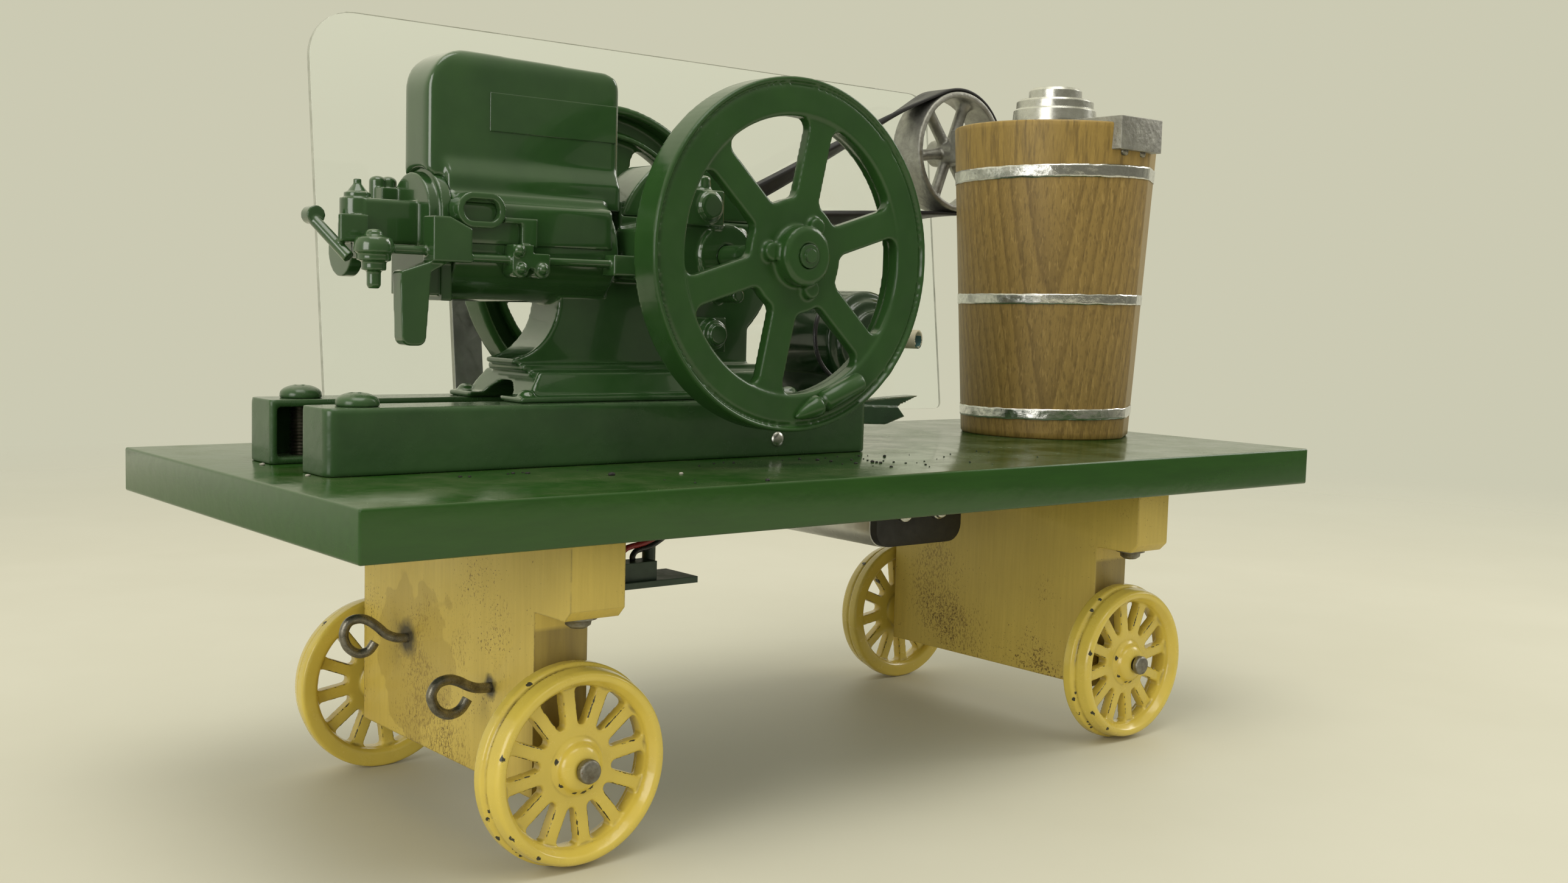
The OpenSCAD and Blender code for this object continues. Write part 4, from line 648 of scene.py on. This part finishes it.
def eased(name, width, *nodes, plugs=()):
    """A flat-faced piece whose edges are slightly rounded; several solids are filled and sanded into one."""
    piece = from_solids(name, nodes[0])
    for other in [from_solids(node + "_copy", node) for node in nodes[1:]] + list(plugs):
        modify(piece, "BOOLEAN", operation="UNION", solver="EXACT", object=other)
        settle(piece)
        bpy.data.objects.remove(other)
    flat = bmesh.new()
    flat.from_mesh(piece.data)
    bmesh.ops.dissolve_limit(flat, angle_limit=math.radians(2), verts=flat.verts, edges=flat.edges)
    flat.to_mesh(piece.data)
    flat.free()
    modify(piece, "BEVEL", width=width * MM, segments=3, limit_method="ANGLE", angle_limit=math.radians(40),
           harden_normals=True)
    piece.data.shade_smooth()
    return settle(piece)


def ring_faces(rings, steps):
    """Faces from ring to ring of points, and one over the first ring."""
    faces = []
    for ring in range(rings - 1):
        for i in range(steps):
            a, b = ring * steps + i, ring * steps + (i + 1) % steps
            faces.append((a, b, b + steps, a + steps))
    return faces + [tuple(range(steps))[::-1]]


def turned(name, centre, axis, profile, steps):
    """A piece turned about an axis through a point; the profile is (radius, distance along) in mm."""
    turn = Vector((0, 0, 1)).rotation_difference(Vector(axis)).to_matrix()
    points = []
    for radius, along in profile:
        for i in range(steps):
            a = 2 * math.pi * i / steps
            points.append(centre + turn @ (Vector((radius * math.cos(a), radius * math.sin(a), along)) * MM))
    top = tuple(range(len(points) - steps, len(points)))
    return mesh_piece(name, points, ring_faces(len(profile), steps) + [top])


def box_piece(name, low, high):
    """A plain block between two corners in deck millimetres, to be worked further."""
    corners = [(x, y, z) for x in (low[0], high[0]) for y in (low[1], high[1]) for z in (low[2], high[2])]
    faces = [(0, 1, 3, 2), (4, 6, 7, 5), (0, 4, 5, 1), (2, 3, 7, 6), (0, 2, 6, 4), (1, 5, 7, 3)]
    return mesh_piece(name, [place(*c) for c in corners], faces, smooth=False)


def spline(points, per):
    """A smooth route through chosen points."""
    route = []
    last = len(points) - 1
    for i in range(last):
        a, b, c, d = (Vector(points[max(0, min(last, i + k))]) for k in (-1, 0, 1, 2))
        for k in range(per):
            t = k / per
            route.append(0.5 * (2 * b + (c - a) * t + (2 * a - 5 * b + 4 * c - d) * t * t
                                + (3 * b - a - 3 * c + d) * t * t * t))
    route.append(Vector(points[-1]))
    return route


def rod(name, route, radius, around):
    """A round rod bent along a route, as a curve with closed ends."""
    data = bpy.data.curves.new(name, "CURVE")
    data.dimensions = "3D"
    line = data.splines.new("POLY")
    line.points.add(len(route) - 1)
    for point, at in zip(line.points, route):
        point.co = (*at, 1.0)
    data.bevel_depth = radius * MM
    data.bevel_resolution = around
    data.use_fill_caps = True
    return add_object(name, data)


# ---- Solids that keep their shape ----


def paint_solids():
    """Every solid gets its slot's paint; pieces made below stand in for most of them."""
    for part in frame["record"]["subparts"]:
        solid = frame["nodes"][part["node"]]
        solid.data.materials.clear()
        solid.data.materials.append(FINISH[part["material_slot"]])


# ---- Engine ----


def make_castings():
    """The engine's own castings, and the plain plate on the hopper."""
    engine = "engine_enamel"
    casting("cast_body", engine, 0.42, 4, 120000, "engine_base", "base_bolts", "near_crankcase",
            "far_crankcase", "barrel", "near_bearing", "far_bearing", "grease_cups")
    casting("cast_hopper", engine, 0.5, 16, 30000, "water_hopper")
    plate = box_piece("bare_plate", (-89.4, -3.12, 156.2), (-55.6, -2.4, 164.9))
    modify(plate, "BEVEL", width=0.15 * MM, segments=3)
    finish(settle(plate), engine)
    casting("cast_valve_gear", engine, 0.24, 3, 95000, "cylinder_head", "valve_chest", "mixer",
            "rocker_lever", "trip_blade", "rod_bracket", "push_rod", "governor_latch")
    casting("cast_exhaust_stub", engine, 0.25, 3, 12000, "exhaust_stub")
    casting("cast_hood", engine, 0.4, 4, 18000, "crank_hood")
    casting("cast_magneto", engine, 0.3, 3, 20000, "magneto")


def make_flywheels():
    """Both flywheels, and the bullet-shaped starting handle that lies on the near one's rim."""
    engine, paint = "engine_enamel", "flywheel_enamel"
    casting("cast_near_flywheel", engine, 0.38, 3, 115000, "near_flywheel", body="crank", paint=paint)
    low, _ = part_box("starting_handle")
    stem_r = 2.6
    middle_y = low.y + stem_r * MM
    start = Vector((-9.9 * MM, middle_y, 100.9 * MM))
    end = Vector((-28.1 * MM, middle_y, 93.3 * MM))
    profile = [(1.7, -1.1), (2.3, -0.8), (stem_r, -0.2), (stem_r, 11.3), (2.3, 11.8), (1.75, 12.0),
               (1.75, 12.8), (2.3, 13.0), (2.65, 13.4), (2.6, 14.6), (2.1, 16.6), (1.3, 18.9), (0.55, 20.3),
               (0.15, 20.6)]
    finish(turned("handle", start, end - start, profile, 40), engine, "crank", ["starting_handle"], paint)
    casting("cast_far_flywheel", engine, 0.6, 3, 50000, "far_flywheel", body="crank", paint=paint)


# ---- Truck, deck and skids ----


def make_wheels():
    """Four spoked wheels; the near ones keep more faces."""
    for end in ("front", "rear"):
        for side, most_faces in (("near", 52000), ("far", 30000)):
            node = end + "_" + side + "_wheel"
            casting("cast_" + node, "wheel_enamel", 0.33, 3, most_faces, node, body=node)


def make_axle_heads():
    """Axle screws with rough, flat-ground heads."""
    low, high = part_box("axle_screws")
    axles_x, axle_z = (-91.95, 89.55), 21.7
    ground_depth, ground_rough = 1.75, 0.14
    profile = [(1.2, -26), (1.25, -1.9), (2.5, -1.85), (2.6, -1.7), (2.6, -0.8), (2.45, -0.4), (2.1, -0.15),
               (1.2, -0.05), (0.3, 0)]
    heads = []
    for x in axles_x:
        for top, way in ((low.y, -1), (high.y, 1)):
            head = turned("axle_head", Vector((x * MM, top, axle_z * MM)), (0, way, 0), profile, 36)
            for corner in head.data.vertices:
                if abs(corner.co.y - top) < ground_depth * MM:
                    off = noise.noise(corner.co * 900 + Vector((x, way, 0))) * ground_rough * MM
                    corner.co.x += off
                    corner.co.z -= off * 0.7
            heads.append(head)
    finish(join("ground_axle_heads", heads), "screw_steel", nodes=["axle_screws"])


def make_wood():
    """The truck's two ends, each sanded into one, with the hooks' holes closed, and the deck."""
    plug_depth, plug_half, plug_low, plug_high = 7.5, 2, 33.9, 38.5
    plugs = [box_piece("plug", (x, y - plug_half, plug_low), (x + plug_depth, y + plug_half, plug_high))
             for x, y, _, _ in HOOK_HOLES]
    for end, fill in (("front", plugs), ("rear", [])):
        parts = [end + "_beam", end + "_board"]
        finish(eased("wood_" + end + "_truck", 0.6, *parts, plugs=fill), "truck_paint", nodes=parts)
    finish(eased("wood_deck", 0.5, "deck"), "deck_paint", nodes=["deck"])


def make_tow_hooks():
    """Two open-eyed hooks, each bent by hand in its own way; steps are out, aside and up from the hole."""
    near = [(3, 0, 0), (0.3, 0, 0), (-3.0, 0, 0.2), (-5.4, 0, 1.0), (-7.8, 0, 2.3), (-10.2, 0, 3.0),
            (-12.8, 0, 2.4), (-14.2, 0, 0), (-13.0, 0, -3.0), (-10.2, 0, -4.6), (-7.4, 0, -4.0),
            (-5.6, 0, -1.8)]
    far = [(3, 0, 0), (0.3, 0, 0), (-2.6, 0.6, 0.2), (-4.9, 1.3, 1.2), (-6.9, 1.8, 3.1), (-8.9, 2.4, 4.6),
           (-10.9, 2.9, 5.2), (-13.2, 3.5, 4.5), (-14.3, 3.8, 1.9), (-13.5, 3.6, -1.2), (-11.2, 3.0, -3.0),
           (-8.9, 2.3, -2.6), (-7.4, 1.9, -0.6)]
    hooks = []
    for (x, y, z, _), bend in zip(HOOK_HOLES, (near, far)):
        route = spline([place(x + out, y + aside, z + up) for out, aside, up in bend], 4)
        bent = rod("tow_hook", route, 1.15, 6)
        hooks.append(add_object("tow_hook", worked_mesh(bent)))
        bpy.data.objects.remove(bent)
    finish(join("bent_tow_hooks", hooks), "hook_steel", nodes=["tow_hooks"])


def make_beam_screws():
    """A screw under each end of the upper beams."""
    profile = [(0.6, 1.0), (1.7, 1.2), (2.7, 1.9), (2.9, 3.0), (4.0, 3.2), (4.0, 4.0), (1.2, 4.0)]
    screws = [turned("beam_screw", place(x, y, 49.9), (0, 0, 1), profile, 32)
              for x in (-92.0, 89.5) for y in (-47, 47)]
    finish(join("beam_screws", screws), "screw_steel")


def make_skids():
    """Channel skids and their screws, one small bright screw, and a bare thread at the far front screw."""
    for node in ("near_skid", "far_skid"):
        casting("painted_" + node, "skid_enamel", 0.5, 4, 26000, node)
    casting("painted_skid_screws", "skid_enamel", 0.28, 3, 20000, "skid_screws")
    dome = [(1.9, -0.6), (1.9, 0.1), (1.6, 0.5), (0.9, 0.8), (0.25, 0.85)]
    finish(turned("skid_side_screw", place(-15.3, -17.6, 85.6), (0, -1, 0), dome, 28), "bright_metal")
    core_r, root_r, crest_r, pitch, turns = 1.2, 1.85, 2.3, 0.75, 15
    thread = [(core_r, 0)]
    for turn in range(turns):
        up = pitch * turn
        thread += [(root_r, 0.2 + up), (crest_r, 0.5 + up), (crest_r, 0.65 + up)]
    thread += [(root_r, 11.35), (core_r, 11.5)]
    finish(turned("skid_screw_thread", place(-124.5, 18.2, 82.4), (0, 0, 1), thread, 40), "screw_steel",
           paint="thread_steel")


def make_crumbs():
    """Grit and flakes of old paint lying on the deck; each spot is X, Y and size."""
    rng = random.Random(11)
    spots = [(rng.uniform(-14, 10), rng.uniform(-52, -30), rng.uniform(0.18, 0.5)) for _ in range(16)]
    spots += [(rng.uniform(-120, 10), rng.uniform(-27.5, -24.8), rng.uniform(0.15, 0.38)) for _ in range(22)]
    spots += [(rng.uniform(-75, 60), rng.uniform(-58, -28), rng.uniform(0.12, 0.26)) for _ in range(22)]
    spots += [(-78, -37.5, 0.75), (-53.5, -61, 0.5)]
    pale = [(-62.6, -41.9, 0.55), (-53, -60.5, 0.4), (-135.8, 12, 0.6), (-135.6, -11.7, 0.5)]
    for name, chosen, paint in (("dark_crumbs", spots, "crumb"), ("pale_flakes", pale, "pale_chip")):
        lumps = []
        for x, y, size in chosen:
            ball = bmesh.new()
            bmesh.ops.create_icosphere(ball, subdivisions=2, radius=1.0)
            stretch = (rng.uniform(0.8, 1.4), rng.uniform(0.7, 1.1), rng.uniform(0.5, 0.8))
            seed = Vector((x, y, 0)) * 0.37
            for corner in ball.verts:
                corner.co *= 1 + 0.35 * noise.noise(corner.co * 1.7 + seed)
                corner.co = Vector([corner.co[i] * stretch[i] * size * MM for i in range(3)])
                corner.co += place(x, y, DECK_TOP + size * 0.35)
            mesh = bpy.data.meshes.new(name)
            ball.to_mesh(mesh)
            ball.free()
            lumps.append(bpy.data.objects.new(name, mesh))
        finish(join(name, lumps), "deck_paint", paint=paint)


# ---- Freezer and belt ----


def tub_radius(angle, height):
    """The tub's outside radius in mm, with its flat side."""
    radius = TUB_FOOT + (TUB_RIM - TUB_FOOT) * height / TUB_TALL
    off = math.cos(angle - TUB_FLAT_TURN)
    if off > 0.3:
        radius = min(radius, (radius - TUB_FLAT) / off)
    return radius


def on_tub(angle, height, out):
    """A point on the tub's side, at a height over the deck and a distance out from the wood."""
    r = tub_radius(angle, height) + out
    return place(TUB_X + r * math.cos(angle), TUB_Y + r * math.sin(angle), DECK_TOP + height)


def make_tub():
    """The tub as turned wood, with eased edges and an open rim; each row is a height and an inset."""
    steps = 240
    rows = [(0.0, -1.2), (0.0, -0.5), (0.5, 0.0)] + [(h, 0.0) for h in range(2, 93, 2)]
    rows += [(93.2, 0.0), (93.6, -0.25), (93.8, -0.8), (93.8, -3.8), (93.5, -4.4), (91.0, -4.5)]
    points = [on_tub(2 * math.pi * i / steps, height, inset) for height, inset in rows for i in range(steps)]
    finish(mesh_piece("turned_tub", points, ring_faces(len(rows), steps)), "tub_wood", nodes=["tub"])


def make_hoops():
    """Bands of foil round the tub, creased, leaning a little, and lapped over their own start."""
    bands = []
    steps, rows = 420, 7
    right_side = math.radians(-39.7)
    turn = 2 * math.pi + math.radians(17)
    for number, (low, wide, lean, start) in enumerate(HOOPS):
        points, faces = [], []
        for i in range(steps + 1):
            f = i / steps
            a = math.radians(start) + f * turn
            lapped = min(1.0, max(0.0, (f * turn - 2 * math.pi + 0.12) / 0.1))
            lift = 0.12 + 0.3 * lapped
            edge_low = 0.22 * noise.noise(Vector((i * 0.11, number * 9.0, 1.0)))
            edge_high = 0.22 * noise.noise(Vector((i * 0.13, number * 9.0, 5.0)))
            tilt = lean * math.cos(a - right_side)
            for j in range(rows):
                g = j / (rows - 1)
                height = low + tilt + edge_low + g * (wide + edge_high - edge_low)
                crease = 0.07 * noise.noise(Vector((i * 0.3, j * 0.5, number * 3.0)))
                facet = 0.16 * noise.noise(Vector((i * 0.085, g * 0.5, number * 7.0)))
                points.append(on_tub(a, height, lift + facet + crease * (0.4 + math.sin(math.pi * g))))
        for i in range(steps):
            for j in range(rows - 1):
                a = i * rows + j
                faces.append((a, a + rows, a + rows + 1, a + 1))
        band = mesh_piece("hoop_band", points, faces)
        modify(band, "SOLIDIFY", thickness=0.12 * MM, offset=1.0)
        bands.append(settle(band))
    finish(join("foil_hoops", bands), "hoop_foil", nodes=["tub_hoops"])


def make_freezer_top():
    """The gear frame with its two screws, and the freezer's pulley."""
    finish(eased("filed_gear_frame", 0.5, "gear_frame"), "grey_casting", nodes=["gear_frame"])
    profile = [(0.3, -1.6), (1.3, -1.3), (1.5, -0.4), (1.5, 0.4), (1.2, 0.5)]
    screws = [turned("frame_screw", place(x, -22.2, 167.1), (0, 0, 1), profile, 24) for x in (109.6, 117.6)]
    finish(join("frame_screws", screws), "hook_steel")
    casting("cast_churn_pulley", "grey_casting", 0.4, 4, 40000, "churn_pulley", body="churn")


def make_belt():
    """The crossed belt, rounded along its run and kept crisp at its edges."""
    belt = from_solids("twisted_belt", "belt")
    edges = bmesh.new()
    edges.from_mesh(belt.data)
    crease = edges.edges.layers.float.new("crease_edge")
    for edge in edges.edges:
        if len(edge.link_faces) == 2 and edge.calc_face_angle(0) > 0.9:
            edge[crease] = 0.85
    bmesh.ops.join_triangles(edges, faces=edges.faces, angle_face_threshold=0.6, angle_shape_threshold=3.1)
    edges.to_mesh(belt.data)
    edges.free()
    modify(belt, "SUBSURF", levels=2, render_levels=2)
    belt.data.shade_smooth()
    finish(settle(belt), "belt_rubber", nodes=["belt"])


# ---- Guard, motor and small parts ----


def second_paint(piece, paint, chosen):
    """Paints the faces that a test chooses with a second paint."""
    piece.data.materials.append(FINISH[paint])
    for face in piece.data.polygons:
        if chosen(face):
            face.material_index = 1


def make_guard():
    """The clear sheet, flat-shaded, with its sawn edge."""
    sheet = eased("clear_guard", 0.12, "guard")
    for layer in [layer.name for layer in sheet.data.attributes if layer.name == "custom_normal"]:
        sheet.data.attributes.remove(sheet.data.attributes[layer])
    sheet.data.shade_flat()
    finish(sheet, "clear_acrylic", nodes=["guard"])
    big = max(sheet.data.polygons, key=lambda face: face.area).normal.copy()
    second_paint(sheet, "cut_edge", lambda face: abs(face.normal.dot(big)) < 0.5)


def make_motor():
    """The motor on its bracket, the clip at the skid's end, and the sleeve with its coloured inside."""
    casting("painted_motor", "motor_enamel", 0.45, 3, 30000, "motor")
    bracket = box_piece("motor_bracket", (16.3, -1, DECK_TOP), (20.3, 24, 101))
    finish(bracket, "motor_enamel", nodes=["motor_saddle"])
    casting("cast_clip", "clip_metal", 0.25, 2, 20000, "lead_clip")
    sleeve = from_solids("flared_sleeve", "lead_sleeve")
    finish(sleeve, "sleeve_plastic", nodes=["lead_sleeve"])
    start, end = place(48, -2, 110.0), place(42.1, 14.4, 110.0)
    run = (end - start).normalized()
    bore_r = 2.3

    def inside(face):
        out = face.center - start
        out = out - run * out.dot(run)
        return out.length < bore_r * MM and face.normal.dot(out) < 0

    second_paint(sleeve, "sleeve_inside", inside)
    sleeve.data.shade_smooth()


def make_battery():
    """The battery case with its black end and the two snaps."""
    box = eased("battery_case", 0.25, "battery_box")
    finish(box, "battery_shell", nodes=["battery_box"])
    end_y = place(0, -15.6, 0).y
    second_paint(box, "battery_end", lambda face: face.center.y < end_y)
    casting("pressed_snaps", "bright_metal", 0.22, 2, 12000, "battery_snaps")


def wire(name, points, radius, paint, node):
    """A covered wire along a smooth route, let into the parts at both ends."""
    route = [place(*p) for p in spline(points, 3)]
    piece = rod(name, route, radius, 4)
    finish(piece, "wire_cover", nodes=[node], paint=paint)


def make_wires():
    """The motor's lead to the clip, and the two wires of the switch under the deck."""
    lead = [(15.1, -3, 118.2), (12.4, -4.4, 120), (8.5, -7, 119.6), (4.4, -9, 116.6), (2.6, -10, 111),
            (4, -10.5, 105), (8, -11.5, 100.4), (12.5, -12, 98.2), (16, -12, 96.6), (17.8, -12, 95.4)]
    red = [(-79, -42.6, 63.05), (-79, -42.6, 64.2), (-77, -42.4, 66), (-72, -42, 66.8), (-66, -41, 68.6),
           (-58, -38, 70), (-50, -34, 70)]
    black = [(-74.6, -41.2, 63.05), (-74.6, -41.2, 64), (-73, -40.6, 65), (-69, -39.6, 65.4),
             (-64, -38.6, 67.4), (-57, -35.6, 70), (-50, -31, 70)]
    wire("black_lead", lead, 0.6, "wire_cover", "motor_lead")
    wire("red_switch_wire", red, 0.65, "red_wire", "switch_wires")
    wire("black_switch_wire", black, 0.65, "wire_cover", "switch_wires")


# ---- Floor and light ----


def make_floor():
    """A wide pale floor that fades out far from the toy."""
    bpy.ops.mesh.primitive_circle_add(vertices=128, radius=3.0, fill_type="NGON")
    floor = bpy.context.object
    floor.name = "pale_floor"
    bench, shader, _ = new_material("pale_floor")
    place_on = bench.here()
    cloud = bench.spread(bench.noise(place_on, 6.0, 4.0, 0.6), 0.3, 0.7)
    tone = bench.blend(cloud, colour(0.65, 0.63, 0.495), colour(0.61, 0.59, 0.455))
    solid = bench.spread(bench.measure("LENGTH", place_on), 0.95, 0.4)
    bench.give(shader, Base_Color=tone, Roughness=0.55, Alpha=solid)
    floor.data.materials.append(FINISH["pale_floor"])


def make_room():
    """A plain pale room: even light, a calm backdrop for the camera and a brighter one in reflections."""
    world = bpy.data.worlds.new("pale_room")
    bpy.context.scene.world = world
    world.use_nodes = True
    world.node_tree.nodes.clear()
    bench = Bench(world.node_tree)
    path = bench.put("ShaderNodeLightPath").outputs
    shown = bench.math("MAXIMUM", path["Is Camera Ray"],
                       bench.math("MAXIMUM", path["Is Glossy Ray"], path["Is Transmission Ray"]))
    way = bench.split(bench.put("ShaderNodeTexCoord").outputs["Generated"])
    behind = bench.spread(way["Y"], -0.5, 0.5, 0.25, 0.9)
    ceiling = bench.spread(way["Z"], 0.1, 0.8, 0.0, 0.5)
    soft = bench.put("ShaderNodeBackground", {"Color": colour(1.0, 0.98, 0.92), "Strength": 0.68})
    seen = bench.put("ShaderNodeBackground", {"Color": colour(0.60, 0.59, 0.45), "Strength": 1.0})
    mirrored = bench.put("ShaderNodeBackground", {"Color": colour(0.76, 0.74, 0.58),
                                                  "Strength": bench.math("ADD", behind, ceiling)})
    sockets = {0: path["Is Glossy Ray"], 1: seen.outputs[0], 2: mirrored.outputs[0]}
    seen = bench.put("ShaderNodeMixShader", sockets)
    mixed = bench.put("ShaderNodeMixShader", {0: shown, 1: soft.outputs[0], 2: seen.outputs[0]})
    bench.put("ShaderNodeOutputWorld", {"Surface": mixed.outputs[0]})


def make_lamps():
    """Three soft square lamps that look at the toy; each has its place, size and power."""
    aim = Vector((0, 0, 0.08))
    for name, spot, size, power in (("overhead_lamp", (-0.15, -0.25, 1.15), 0.8, 5.5),
                                    ("side_lamp", (1.15, -0.3, 0.75), 0.5, 3.5),
                                    ("left_lamp", (-1.1, -0.35, 0.35), 0.6, 4.5)):
        data = bpy.data.lights.new(name, "AREA")
        data.size = size
        data.energy = power
        data.color = (1.0, 0.98, 0.93)
        lamp = add_object(name, data)
        lamp.location = spot
        lamp.rotation_euler = (aim - Vector(spot)).to_track_quat("-Z", "Y").to_euler()


paint_solids()
make_wires()
make_castings()
make_flywheels()
make_wheels()
make_axle_heads()
make_wood()
make_tow_hooks()
make_beam_screws()
make_skids()
make_crumbs()
make_tub()
make_hoops()
make_freezer_top()
make_belt()
make_guard()
make_motor()
make_battery()
make_floor()
make_room()
make_lamps()

bpy.context.scene.view_settings.view_transform = "Standard"
